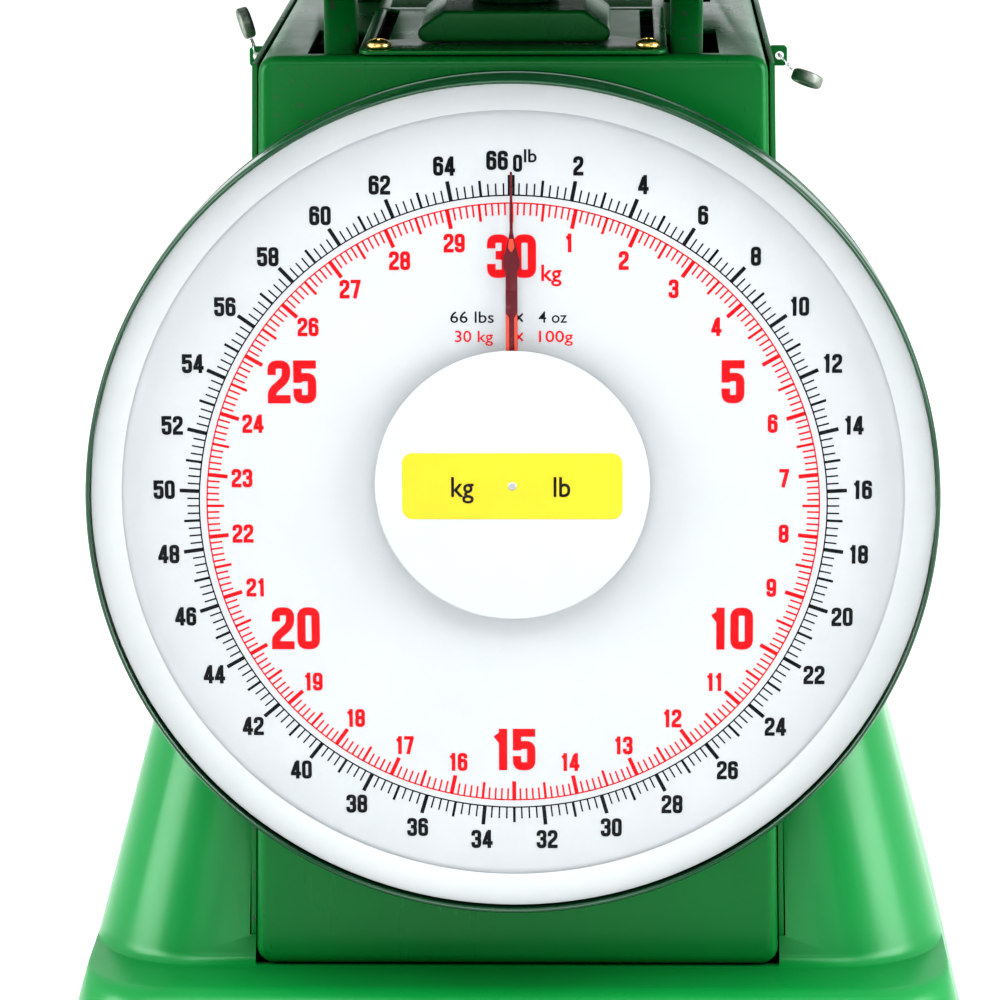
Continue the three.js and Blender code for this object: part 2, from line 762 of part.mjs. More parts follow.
// A stiff wire through the tab's eye, with both ends meeting at the seal.
function sealWire(side, end) {
  const eye = side * (columnHalf(SEAL_Z) + GAP + 3.2);
  const [x, z] = end;
  return tube([
    [x, SEAL_Y - 1.2, z],
    [(x * 2 + eye) / 3, SEAL_Y - 2.2, (z * 2 + SEAL_Z) / 3],
    [eye, SEAL_Y - 1.8, SEAL_Z],
    [eye, SEAL_Y, SEAL_Z],
    [eye, SEAL_Y + 1.8, SEAL_Z],
    [(x * 2 + eye) / 3, SEAL_Y + 2.2, (z * 2 + SEAL_Z) / 3],
    [x, SEAL_Y + 1.2, z],
  ], 0.4, 6, 24);
}

// A crimped disc seen on edge: its flat faces lean by tilt from the vertical.
function leadSeal(x, z, tilt) {
  const profile = [[0, -1.8], [3.9, -1.8], [4.7, -1], [4.7, 1], [3.9, 1.8], [0, 1.8]];
  return turned(profile, 20).rotateZ(Math.PI / 2 + tilt).translate(x, SEAL_Y, z);
}

// ---------- the scale ----------

const scale = new THREE.Group();

function add(name, geometry, material) {
  const mesh = new THREE.Mesh(geometry, material);
  mesh.name = name;
  scale.add(mesh);
}

add("base_skirt", baseSkirt(), GREEN);
add("base_plate", basePlate(), DARK_STEEL);
[["left", -1], ["right", 1]].forEach(([sideName, side]) => {
  add(`foot_front_${sideName}`, foot(side * 108, BODY_Y - 95), RUBBER);
  add(`foot_rear_${sideName}`, foot(side * 108, BODY_Y + 95), RUBBER);
});

add("column_housing", columnHousing(), GREEN);
add("front_cover", frontCover(), GREEN);
add("rear_cover", rearCover(), GREEN);
[["upper", REAR_COVER_Z[1] - 8], ["lower", REAR_COVER_Z[0] + 8]].forEach(([heightName, z]) => {
  add(`rear_cover_screw_${heightName}_left`, rearCoverScrew(-45, z), STEEL);
  add(`rear_cover_screw_${heightName}_right`, rearCoverScrew(45, z), STEEL);
});

add("dial_drum", dialDrum(), GREEN);
add("bezel_ring", bezelRing(), GREEN);
add("dial_glass", dialGlass(), GLASS);
add("dial_surround", dialSurround(), WHITE);
add("dial_plate", dialPlate(), WHITE);
add("centre_disc", centreDisc(), WHITE);
add("pointer", pointerBlade(), RED);
add("pointer_hub", pointerHub(), BRASS);
add("pinion_arbor", pinionArbor(), STEEL);

add("movement_plate_front", movementPlate(MOVEMENT_FRONT, PILLAR_RADIUS + 0.3), BRASS);
add("movement_plate_rear", movementPlate(MOVEMENT_REAR, 0), BRASS);
PILLARS.forEach(([place, x, z]) => add(`movement_pillar_${place}`, pillar(x, z), STEEL));

add("rack", rack(), STEEL);
add("rack_beam", rackBeam(), STEEL);
add("lower_crossbar", lowerCrossbar(), STEEL);
add("spring_hanger", springHanger(), DARK_STEEL);
[["left", -1], ["right", 1]].forEach(([sideName, side]) => {
  add(`side_frame_${sideName}`, sideFrame(side), GREEN);
  add(`main_spring_${sideName}`, mainSpring(side), STEEL);
  add(`pivot_bracket_${sideName}`, pivotBracket(side), DARK_STEEL);
  add(`hanger_screw_${sideName}`, hangerScrew(side), BRASS);
  add(`seal_tab_${sideName}`, sealTab(side), GREEN);
});
Object.entries(LINK_HEIGHTS).forEach(([name, z]) => {
  add(name, link(z), STEEL);
  add(`${name}_shaft`, rod(PIVOT_RADIUS, [-66, LINK_REAR_Y, z], [66, LINK_REAR_Y, z]), DARK_STEEL);
});

add("hanger_plate", hangerPlate(), GREEN);
add("rack_hood", rackHood(), GREEN);
add("zero_knob", zeroKnob(), KNOB);

add("pan_spider", panSpider(), GREEN);
add("weighing_pan", weighingPan(), STEEL);
[["front", POST_FRONT + POST_DEPTH / 2], ["rear", POST_REAR - POST_DEPTH / 2]].forEach(([endName, y]) => {
  add(`pan_pad_${endName}_left`, panPad(-POST_X, y), RUBBER);
  add(`pan_pad_${endName}_right`, panPad(POST_X, y), RUBBER);
});

add("seal_wire_left", sealWire(-1, [-79.5, 311.2]), STEEL);
add("lead_seal_left", leadSeal(-81, 316, 0.5), LEAD);
add("seal_wire_right", sealWire(1, [81.5, 302]), STEEL);
add("lead_seal_right", leadSeal(86, 299, 1.05), LEAD);

export default scale;
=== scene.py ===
"""Looks of a mechanical dial platform scale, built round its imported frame.

Lengths are in millimetres until a mesh is made. +Z is up and the dial faces -Y.
"""

import math
import random

import bmesh
import bpy
from mathutils import Matrix, Vector


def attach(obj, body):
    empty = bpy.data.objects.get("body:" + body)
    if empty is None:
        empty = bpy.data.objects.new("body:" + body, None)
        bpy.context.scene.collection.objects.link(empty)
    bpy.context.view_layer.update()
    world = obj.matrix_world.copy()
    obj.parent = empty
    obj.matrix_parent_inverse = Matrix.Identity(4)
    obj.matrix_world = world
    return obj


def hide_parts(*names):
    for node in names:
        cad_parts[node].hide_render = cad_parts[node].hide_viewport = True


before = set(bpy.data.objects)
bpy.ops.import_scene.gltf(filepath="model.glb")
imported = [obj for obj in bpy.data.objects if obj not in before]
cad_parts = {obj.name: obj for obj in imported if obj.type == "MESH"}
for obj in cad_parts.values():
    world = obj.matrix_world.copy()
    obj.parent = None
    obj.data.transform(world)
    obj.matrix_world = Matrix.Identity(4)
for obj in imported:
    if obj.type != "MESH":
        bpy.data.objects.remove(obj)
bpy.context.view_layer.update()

MM = 0.001
ONE_TURN = 2 * math.pi

# ---------- sizes shared with the frame ----------

BODY_Y = 4.5
COLUMN_FRONT = -90.5
COLUMN_REAR = 99.5
COLUMN_TOP = 315
SHEET = 1.5
GAP = 0.4
LEDGE_Z = 45
BASE_DEPTH = 242
SKIRT_TOP = 212
HEM_Z = 7
DIAL_Z = 193
AXIS_Z = 190.7
DIAL_FRONT = -125.5
PLATE_FRONT = -116
POINTER_FRONT = -119.2
DISC_Z = 197.8
POST_X = 49.2
POST_FRONT = -82.5
PAN_TOP = 350
DIAL_CENTRE = (0, 0, DIAL_Z)
AXIS_CENTRE = (0, 0, AXIS_Z)
DISC_CENTRE = (0, 0, DISC_Z)

# ---------- meshes ----------


def finish_mesh(obj, angle=35):
    """Faces out, smooth shading, and sharp edges where the surface turns by more than the angle."""
    work = bmesh.new()
    work.from_mesh(obj.data)
    bmesh.ops.remove_doubles(work, verts=work.verts, dist=1e-7)
    bmesh.ops.recalc_face_normals(work, faces=work.faces)
    work.to_mesh(obj.data)
    work.free()
    obj.data.polygons.foreach_set("use_smooth", [True] * len(obj.data.polygons))
    obj.data.set_sharp_from_angle(angle=math.radians(angle))
    return obj


def make(name, points, faces, angle=35):
    mesh = bpy.data.meshes.new(name)
    mesh.from_pydata([Vector(p) * MM for p in points], [], faces)
    obj = bpy.data.objects.new(name, mesh)
    bpy.context.scene.collection.objects.link(obj)
    return finish_mesh(obj, angle)


def apply_modifiers(obj, angle=35):
    graph = bpy.context.evaluated_depsgraph_get()
    mesh = bpy.data.meshes.new_from_object(obj.evaluated_get(graph))
    obj.modifiers.clear()
    obj.data = mesh
    return finish_mesh(obj, angle)


def carve(obj, tools, operation="DIFFERENCE"):
    """Cuts tools out of a piece, or joins them to it."""
    for tool in tools:
        step = obj.modifiers.new("carve", "BOOLEAN")
        step.operation = operation
        step.solver = "EXACT"
        step.object = tool
    apply_modifiers(obj)
    for tool in tools:
        bpy.data.objects.remove(tool)
    return obj


def soften(obj, width, segments=2, angle=40):
    """Rounds the sharp edges of a piece."""
    step = obj.modifiers.new("soften", "BEVEL")
    step.width = width * MM
    step.segments = segments
    step.limit_method = "ANGLE"
    step.angle_limit = math.radians(angle)
    step.use_clamp_overlap = True
    return apply_modifiers(obj, angle)


def rounded(corners, radius, steps):
    """Points round an anticlockwise convex polygon whose corners are arcs."""
    points = []
    for i, corner in enumerate(corners):
        here = Vector(corner)
        before = (Vector(corners[i - 1]) - here).normalized()
        after = (Vector(corners[(i + 1) % len(corners)]) - here).normalized()
        half = before.angle(after) / 2
        centre = here + (before + after).normalized() * (radius / math.sin(half))
        start = here + before * (radius / math.tan(half)) - centre
        sweep = math.pi - 2 * half
        for k in range(steps + 1):
            points.append(centre + Matrix.Rotation(sweep * k / steps, 2) @ start)
    return points


def inset_corners(corners, distance):
    """The corners of a convex polygon moved in by the same distance from each side."""
    moved = []
    for i, corner in enumerate(corners):
        here = Vector(corner)
        before = (Vector(corners[i - 1]) - here).normalized()
        after = (Vector(corners[(i + 1) % len(corners)]) - here).normalized()
        half = before.angle(after) / 2
        moved.append(here + (before + after).normalized() * (distance / math.sin(half)))
    return moved


def loft(name, rings, angle=35):
    """A closed solid through rings that have the same number of points."""
    count = len(rings[0])
    faces = [tuple(range(count)), tuple(range((len(rings) - 1) * count, len(rings) * count))]
    for level in range(len(rings) - 1):
        for i in range(count):
            a = level * count + i
            b = level * count + (i + 1) % count
            faces.append((a, b, b + count, a + count))
    return make(name, [p for ring in rings for p in ring], faces, angle)


TOP_PLANE = "top"
FRONT_PLANE = "front"


def slab(name, corners, radius, low, high, edge_low=0.0, edge_high=0.0, plane=TOP_PLANE, steps=8):
    """A flat piece with rounded corners and soft edges, drawn on the top plane or the front plane."""
    levels = []
    rounds = 5
    least_radius = 0.2
    for edge, level, sign in ((edge_low, low, 1), (edge_high, high, -1)):
        if edge <= 0:
            curve = [(0.0, level)]
        else:
            turns = [math.pi / 2 * k / rounds for k in range(rounds + 1)]
            curve = [(edge * (1 - math.sin(t)), level + sign * edge * (1 - math.cos(t))) for t in turns]
        levels += curve if sign > 0 else curve[::-1]
    rings = []
    for inset, level in levels:
        outline = rounded(inset_corners(corners, inset), max(radius - inset, least_radius), steps)
        if plane == TOP_PLANE:
            rings.append([(p.x, p.y, level) for p in outline])
        else:
            rings.append([(p.x, level, p.y) for p in outline])
    return loft(name, rings)


def rectangle(half_x, half_y, centre_x=0.0, centre_y=0.0):
    return [
        (centre_x - half_x, centre_y - half_y),
        (centre_x + half_x, centre_y - half_y),
        (centre_x + half_x, centre_y + half_y),
        (centre_x - half_x, centre_y + half_y),
    ]


def block(name, x0, x1, y0, y1, z0, z1):
    corners = [(x0, y0), (x1, y0), (x1, y1), (x0, y1)]
    return loft(name, [[(x, y, z) for x, y in corners] for z in (z0, z1)])


def lathe(name, profile, axis="y", centre=(0, 0, 0), segments=160, angle=35):
    """A round piece from a closed profile of (radius, distance along the axis)."""
    count = len(profile)
    points = []
    for s in range(segments):
        turn = ONE_TURN * s / segments
        for radius, along in profile:
            across, up = radius * math.sin(turn), radius * math.cos(turn)
            point = (across, along, up) if axis == "y" else (across, up, along)
            points.append([a + b for a, b in zip(point, centre)])
    faces = []
    for s in range(segments):
        t = (s + 1) % segments
        for i in range(count):
            j = (i + 1) % count
            if profile[i][0] == 0 and profile[j][0] == 0:
                continue
            faces.append((s * count + i, s * count + j, t * count + j, t * count + i))
    return make(name, points, faces, angle)


def rod(name, radius, y0, y1, centre, segments):
    """A solid cylinder along Y."""
    return lathe(name, [(0, y0), (radius, y0), (radius, y1), (0, y1)], "y", centre, segments)


def heading(path, i):
    """The way a path of points runs at its point i."""
    return (path[min(i + 1, len(path) - 1)] - path[max(i - 1, 0)]).normalized()


def tube(name, path, radius, sides):
    """A round wire along a path of points, with closed ends."""
    turns = [ONE_TURN * k / sides for k in range(sides)]
    rings = []
    across = None
    for i, point in enumerate(path):
        ahead = heading(path, i)
        if across is None:
            across = ahead.orthogonal().normalized()
        else:
            across = (across - ahead * across.dot(ahead)).normalized()
        other = ahead.cross(across)
        rings.append([point + (across * math.cos(t) + other * math.sin(t)) * radius for t in turns])
    return loft(name, rings, 80)


def smooth_path(points, steps):
    """A Catmull-Rom curve through the points."""
    points = [Vector(p) for p in points]
    line = []
    for i in range(len(points) - 1):
        a = points[max(i - 1, 0)]
        b, c = points[i], points[i + 1]
        d = points[min(i + 2, len(points) - 1)]
        slope = c - a
        square = 2 * a - 5 * b + 4 * c - d
        cube = 3 * b - a - 3 * c + d
        for k in range(steps):
            t = k / steps
            line.append(0.5 * (2 * b + slope * t + square * t * t + cube * t ** 3))
    return line + [points[-1]]


def joined(name, pieces):
    """Several pieces as one object."""
    work = bmesh.new()
    for part in pieces:
        work.from_mesh(part.data)
        bpy.data.objects.remove(part)
    mesh = bpy.data.meshes.new(name)
    work.to_mesh(mesh)
    work.free()
    obj = bpy.data.objects.new(name, mesh)
    bpy.context.scene.collection.objects.link(obj)
    return obj


def shift(x, y, z):
    return Matrix.Translation(Vector((x, y, z)) * MM)


def settle(obj, matrix):
    obj.data.transform(matrix)
    return obj


# ---------- materials ----------


class Finish:
    """A Principled material whose detail is drawn by nodes in object space."""

    def __init__(self, name, **values):
        self.material = bpy.data.materials.new(name)
        self.material.use_nodes = True
        self.nodes = self.material.node_tree.nodes
        self.links = self.material.node_tree.links
        self.shader = self.nodes["Principled BSDF"]
        for socket, value in values.items():
            self.shader.inputs[socket.replace("_", " ")].default_value = value
        self.space = self.nodes.new("ShaderNodeTexCoord").outputs["Object"]

    def noise(self, scale, detail=4.0, roughness=0.55, stretch=None):
        node = self.nodes.new("ShaderNodeTexNoise")
        node.inputs["Scale"].default_value = scale
        node.inputs["Detail"].default_value = detail
        node.inputs["Roughness"].default_value = roughness
        source = self.space
        if stretch:
            mapping = self.nodes.new("ShaderNodeMapping")
            mapping.inputs["Scale"].default_value = stretch
            self.links.new(source, mapping.inputs["Vector"])
            source = mapping.outputs["Vector"]
        self.links.new(source, node.inputs["Vector"])
        return node.outputs["Fac"]

    def ramp(self, source, stops):
        node = self.nodes.new("ShaderNodeValToRGB")
        ends = node.color_ramp.elements
        for i, (place, value) in enumerate(stops):
            colour = (*value, 1) if isinstance(value, tuple) else (value, value, value, 1)
            stop = ends[i] if i < 2 else ends.new(place)
            stop.position = place
            stop.color = colour
        self.links.new(source, node.inputs["Fac"])
        return node.outputs["Color"]

    def feed(self, sockets, values):
        """Links or sets each socket, whether its value is another node's output, a colour or a number."""
        for socket, value in zip(sockets, values):
            if isinstance(value, bpy.types.NodeSocket):
                self.links.new(value, socket)
            elif isinstance(value, tuple):
                socket.default_value = (*value, 1)
            else:
                socket.default_value = value

    def mix(self, factor, first, second):
        """A mix of two colours. Sockets 6 and 7 of a Mix node are its colours, and output 2 is their mix."""
        node = self.nodes.new("ShaderNodeMix")
        node.data_type = "RGBA"
        self.feed((node.inputs["Factor"], node.inputs[6], node.inputs[7]), (factor, first, second))
        return node.outputs[2]

    def multiply(self, first, second):
        node = self.nodes.new("ShaderNodeMath")
        node.operation = "MULTIPLY"
        self.feed(node.inputs, (first, second))
        return node.outputs["Value"]

    def worn_edges(self, low, high):
        """One on outward edges and nought on flats."""
        node = self.nodes.new("ShaderNodeNewGeometry")
        return self.ramp(node.outputs["Pointiness"], [(low, 0.0), (high, 1.0)])

    def colour(self, source):
        self.links.new(source, self.shader.inputs["Base Color"])
        return self

    def rough(self, source):
        self.links.new(source, self.shader.inputs["Roughness"])
        return self

    def bump(self, *layers):
        """Layers of (height, strength, distance in millimetres), fine detail last."""
        normal = None
        for height, strength, distance in layers:
            node = self.nodes.new("ShaderNodeBump")
            node.inputs["Strength"].default_value = strength
            node.inputs["Distance"].default_value = distance * MM
            self.links.new(height, node.inputs["Height"])
            if normal:
                self.links.new(normal, node.inputs["Normal"])
            normal = node.outputs["Normal"]
        self.links.new(normal, self.shader.inputs["Normal"])
        return self


def enamel(name, base, bright, dark, gloss=0.24, shine=0.2):
    """Stoved enamel: orange peel, faint clouding, dulled patches and chips along the edges."""
    f = Finish(name, Specular_IOR_Level=shine, Coat_Weight=0.05, Coat_Roughness=0.12)
    clouds = f.ramp(f.noise(9, 3), [(0.3, dark), (0.7, bright)])
    body = f.mix(0.45, base, clouds)
    edges = f.worn_edges(0.56, 0.66)
    flakes = f.ramp(f.noise(420, 6, 0.7), [(0.57, 0.0), (0.61, 1.0)])
    chips = f.multiply(edges, flakes)
    specks = f.ramp(f.noise(1900, 2, 0.5), [(0.70, 0.0), (0.76, 1.0)])
    f.colour(f.mix(f.multiply(specks, 0.25), f.mix(chips, body, (0.05, 0.055, 0.045)), dark))
    smears = f.noise(26, 5, 0.65, (1, 1, 0.35))
    f.rough(f.ramp(smears, [(0.3, gloss), (0.75, gloss + 0.13)]))
    waves = (f.noise(55, 2), 0.10, 0.5)
    peel = (f.noise(620, 2, 0.4), 0.16, 0.05)
    return f.bump(waves, peel, (chips, -0.3, 0.05)).material


def metal(name, bright, dull, low, high, grain, stretch=None, strength=0.2):
    """Bare metal whose grain runs where the stretch is smallest."""
    f = Finish(name, Metallic=1.0)
    lines = f.noise(grain, 6, 0.7, stretch)
    tarnish = f.noise(34, 5, 0.6)
    f.colour(f.mix(f.ramp(tarnish, [(0.35, 0.0), (0.8, 0.7)]), bright, dull))
    f.rough(f.ramp(lines, [(0.25, low), (0.8, high)]))
    return f.bump((tarnish, 0.08, 0.2), (lines, strength, 0.02)).material


def plain_paint(name, base, other, low, high, grain=700, strength=0.12, shine=0.5):
    """Printed or sprayed colour with a fine, slightly uneven surface."""
    f = Finish(name, Specular_IOR_Level=shine)
    f.colour(f.mix(f.ramp(f.noise(30, 4), [(0.3, 0.0), (0.75, 1.0)]), base, other))
    f.rough(f.ramp(f.noise(90, 4), [(0.3, low), (0.75, high)]))
    return f.bump((f.noise(grain, 3), strength, 0.03)).material


def glass_finish():
    """Thin clear glass: what is behind it shows, and its outer faces mirror more at a slant."""
    f = Finish("dial_glass_clear", Base_Color=(0.9, 0.95, 0.95, 1), Metallic=1.0)
    f.rough(f.ramp(f.noise(60, 3), [(0.3, 0.015), (0.8, 0.05)]))
    f.bump((f.noise(22, 1), 0.02, 0.2))
    clear = f.nodes.new("ShaderNodeBsdfTransparent")
    clear.inputs["Color"].default_value = (0.87, 0.875, 0.875, 1)
    slant = f.nodes.new("ShaderNodeFresnel")
    slant.inputs["IOR"].default_value = 1.22
    backfacing = f.nodes.new("ShaderNodeNewGeometry").outputs["Backfacing"]
    outside = f.ramp(backfacing, [(0.0, 1.0), (1.0, 0.0)])
    mixed = f.nodes.new("ShaderNodeMixShader")
    f.links.new(f.multiply(slant.outputs["Fac"], outside), mixed.inputs["Fac"])
    f.links.new(clear.outputs["BSDF"], mixed.inputs[1])
    f.links.new(f.shader.outputs["BSDF"], mixed.inputs[2])
    f.links.new(mixed.outputs["Shader"], f.nodes["Material Output"].inputs["Surface"])
    return f.material


def rubber_finish():
    f = Finish("foot_rubber", Specular_IOR_Level=0.35)
    dust = f.ramp(f.noise(120, 5, 0.7), [(0.5, 0.0), (0.8, 0.5)])
    f.colour(f.mix(dust, (0.018, 0.018, 0.019), (0.10, 0.095, 0.085)))
    f.rough(f.ramp(f.noise(300, 4), [(0.3, 0.6), (0.8, 0.9)]))
    return f.bump((f.noise(1500, 3), 0.35, 0.05)).material


def lead_finish():
    f = Finish("seal_lead", Metallic=0.85)
    f.colour(f.ramp(f.noise(260, 5, 0.7), [(0.3, (0.10, 0.12, 0.10)), (0.7, (0.30, 0.33, 0.29))]))
    f.rough(f.ramp(f.noise(400, 4), [(0.3, 0.38), (0.8, 0.7)]))
    return f.bump((f.noise(320, 3), 0.5, 0.25)).material


GREEN = enamel("green_enamel", (0.0, 0.112, 0.022), (0.001, 0.13, 0.028), (0.0, 0.092, 0.015))
RIM_GREEN = enamel("rim_enamel", (0.002, 0.034, 0.012), (0.003, 0.042, 0.016), (0.001, 0.026, 0.008),
                   gloss=0.16, shine=0.42)
# A lighter copy of the green enamel for the skirt: painted light for the extra light that its leaning walls
# catch.
SKIRT_PAINTED_LIGHT_GREEN = enamel("skirt_enamel_painted_light", (0.004, 0.155, 0.036), (0.006, 0.18, 0.044), (0.002, 0.13, 0.026),
                     gloss=0.28, shine=0.34)
WHITE = plain_paint("white_enamel", (0.60, 0.61, 0.615), (0.57, 0.585, 0.595), 0.32, 0.48)
DIAL_WHITE = plain_paint("dial_white", (0.575, 0.585, 0.60), (0.55, 0.562, 0.58), 0.42, 0.58, 900, 0.08)
BLACK_INK = plain_paint("black_ink", (0.004, 0.004, 0.005), (0.012, 0.012, 0.014), 0.4, 0.6, shine=0.12)
RED_INK = plain_paint("red_ink", (0.78, 0.003, 0.008), (0.70, 0.004, 0.012), 0.4, 0.6, shine=0.12)
POINTER_RED = plain_paint("pointer_red", (0.105, 0.0, 0.008), (0.14, 0.001, 0.012), 0.22, 0.36)
# Bright orange for the pointer's strips: a painted highlight on the blade's edges and shoulder.
POINTER_PAINTED_HIGHLIGHT = plain_paint("pointer_painted_highlight_red", (0.85, 0.10, 0.05), (0.75, 0.07, 0.035), 0.3, 0.45)
BADGE_YELLOW = plain_paint("badge_yellow", (0.72, 0.58, 0.02), (0.66, 0.52, 0.016), 0.35, 0.5)
STEEL = metal("brushed_steel", (0.62, 0.63, 0.64), (0.42, 0.43, 0.44), 0.2, 0.46, 6, (1.5, 260, 260), 0.3)
ZINC = metal("zinc_plate", (0.60, 0.61, 0.62), (0.36, 0.37, 0.38), 0.28, 0.55, 240)
BRASS = metal("plated_brass", (0.86, 0.62, 0.24), (0.45, 0.30, 0.10), 0.18, 0.42, 300)
DARK = metal("black_oxide", (0.10, 0.10, 0.11), (0.16, 0.12, 0.09), 0.35, 0.65, 200)
GLASS = glass_finish()
RUBBER = rubber_finish()
LEAD = lead_finish()
KNOB = plain_paint("knob_moulding", (0.006, 0.07, 0.022), (0.01, 0.09, 0.03), 0.35, 0.55, 1200, 0.3)

NODE_FINISH = {
    "base_plate": DARK,
    "spring_hanger": DARK,
    "pivot_bracket_left": DARK,
    "pivot_bracket_right": DARK,
    "upper_link_shaft": DARK,
    "lower_link_shaft": DARK,
    "upper_link": ZINC,
    "lower_link": ZINC,
    "lower_crossbar": ZINC,
    "rack": ZINC,
    "rack_beam": ZINC,
    "main_spring_left": ZINC,
    "main_spring_right": ZINC,
    "movement_plate_front": BRASS,
    "movement_plate_rear": BRASS,
    "movement_pillar_upper_left": ZINC,
    "movement_pillar_upper_right": ZINC,
    "movement_pillar_lower_left": ZINC,
    "movement_pillar_lower_right": ZINC,
    "pinion_arbor": ZINC,
    "pointer_hub": BRASS,
    "pan_pad_front_left": RUBBER,
    "pan_pad_front_right": RUBBER,
    "pan_pad_rear_left": RUBBER,
    "pan_pad_rear_right": RUBBER,
}
for node, finish in NODE_FINISH.items():
    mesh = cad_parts[node].data
    mesh.materials.clear()
    mesh.materials.append(finish)


def piece(obj, body, slot_name, finish, *nodes):
    """Dresses a new piece, fixes it to its body, and hides the nodes it stands for."""
    obj.data.materials.clear()
    obj.data.materials.append(finish)
    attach(obj, body)
    if nodes:
        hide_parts(*nodes)


# ---------- camera, floor and lights ----------


CAMERA_PLACE = (0.0291, -1.3685, 0.4810)
CAMERA_TARGET = (0, DIAL_FRONT * MM, 0.1946)
CAMERA_ROLL = math.radians(-0.29)
FLOOR_HALF = 4000


def aim(obj, target):
    obj.rotation_euler = (Vector(target) - obj.location).to_track_quat("-Z", "Y").to_euler()


camera_data = bpy.data.cameras.new("camera")
camera_data.lens = 163.7
camera_data.sensor_width = 36
camera_data.shift_x = -0.012
camera = bpy.data.objects.new("camera", camera_data)
camera.location = CAMERA_PLACE
aim(camera, CAMERA_TARGET)
camera.rotation_euler.rotate_axis("Z", CAMERA_ROLL)
bpy.context.scene.collection.objects.link(camera)
bpy.context.scene.camera = camera

floor = make("floor", [(x, y, 0) for x, y in rectangle(FLOOR_HALF, FLOOR_HALF)], [(0, 1, 2, 3)])
floor.data.materials.append(plain_paint("studio_floor", (0.84, 0.84, 0.84), (0.82, 0.82, 0.82), 0.6, 0.8))

world = bpy.data.worlds.new("studio")
world.use_nodes = True
bpy.context.scene.world = world
bpy.context.scene.view_settings.view_transform = "Standard"
bpy.context.scene.view_settings.look = "High Contrast"


def shade_sky(nodes, links):
    """A white studio that is dim in front of the dial and bright behind and beside it."""
    direction = nodes.new("ShaderNodeTexCoord").outputs["Generated"]
    parts = nodes.new("ShaderNodeSeparateXYZ")
    links.new(direction, parts.inputs["Vector"])
    ramp = nodes.new("ShaderNodeMapRange")
    ramp.inputs["From Min"].default_value = -0.9
    ramp.inputs["From Max"].default_value = 0.1
    ramp.inputs["To Min"].default_value = 0.12
    ramp.inputs["To Max"].default_value = 1.0
    links.new(parts.outputs["Y"], ramp.inputs["Value"])
    links.new(ramp.outputs["Result"], nodes["Background"].inputs["Strength"])
    nodes["Background"].inputs["Color"].default_value = (0.96, 0.98, 1.0, 1)


shade_sky(world.node_tree.nodes, world.node_tree.links)


def softbox(name, place, target, size, power):
    data = bpy.data.lights.new(name, "AREA")
    data.shape = "RECTANGLE"
    data.size, data.size_y = size
    data.energy = power
    lamp = bpy.data.objects.new(name, data)
    lamp.location = place
    aim(lamp, target)
    bpy.context.scene.collection.objects.link(lamp)


softbox("softbox_top", (0.0, -1.1, 1.75), (0, 0, 0.1), (1.6, 1.2), 30)
softbox("softbox_left", (-1.5, -0.55, 0.8), (0, 0, 0.1), (1.0, 1.4), 30)
softbox("softbox_right", (1.5, -0.55, 0.8), (0, 0, 0.1), (1.0, 1.4), 36)
softbox("softbox_front", (-0.1, -2.6, 0.75), (0, -0.1, 0.15), (1.9, 0.9), 12)

# ---------- base ----------

# The skirt's sides and back lean in above LEAN_Z, by these shares of the height.
SKIRT_HALF = 134
LEAN_Z = 20
SIDE_LEAN = 0.262
BACK_LEAN = 0.1
# The front wall leans back by WALL_LEAN up to its top, and its corner radius is larger by WALL_CORNER.
WALL_LEAN = 38
WALL_CORNER = 10
FOOT_X = 108
FOOT_Y = 95


def skirt_half(z):
    return SKIRT_HALF if z < LEAN_Z else SKIRT_HALF - (z - LEAN_Z) * SIDE_LEAN


def skirt_ring(z, half, front, rear, radius):
    middle = (front + rear) / 2
    outline = rounded(rectangle(half, (rear - front) / 2, 0, middle), radius, 12)
    return [(p.x, p.y, z) for p in outline]


def skirt_solid(name, inset, bottom):
    """The skirt's form, moved in by inset: hem, front step rounded into a ledge, and leaning walls."""
    front = BODY_Y - BASE_DEPTH / 2 + inset
    rear = BODY_Y + BASE_DEPTH / 2 - inset
    step_round, fillet, shoulder = 9, 4, 8
    ledge = LEDGE_Z - inset
    wall = COLUMN_FRONT + 3 + inset
    corner = 24 - inset

    def back(z):
        return rear - (z - LEAN_Z) * BACK_LEAN

    def ring(z, y, pull=0.0, rear_y=None, wider=0):
        far = back(z) - pull if rear_y is None else rear_y
        return skirt_ring(z, skirt_half(z) - inset - pull, y, far, corner + wider - pull)

    rings = [
        ring(bottom, front, 0, rear),
        ring(LEAN_Z, front, 0, rear),
        ring(ledge - step_round, front),
    ]
    turns = [math.radians(90 * k / 8) for k in range(9)]
    for t in turns[1:]:
        rings.append(ring(ledge - step_round * (1 - math.sin(t)), front + step_round * (1 - math.cos(t))))
    for t in turns:
        z = ledge + fillet * (1 - math.cos(t)) + 0.01
        rings.append(ring(z, wall - fillet * (1 - math.sin(t)), wider=WALL_CORNER))
    top = SKIRT_TOP - inset
    for t in turns:
        pull = shoulder * (1 - math.cos(t))
        z = top - shoulder * (1 - math.sin(t))
        rings.append(ring(z, wall + WALL_LEAN + pull, pull, wider=WALL_CORNER))
    return loft(name, rings)


def column_half(z):
    """Half the column's width, 74 at its top and 5 more at the ledge."""
    return 74 + (COLUMN_TOP - z) * 5 / (COLUMN_TOP - LEDGE_Z)


def column_corners(inset, bottom, top):
    low = column_half(bottom) - inset
    high = column_half(top) - inset
    return [(-low, bottom), (low, bottom), (high, top), (-high, top)]


def column_room(name, inset, bottom, y0, y1):
    return slab(name, column_corners(inset, bottom, 400), 0.5, y0, y1, plane=FRONT_PLANE, steps=1)


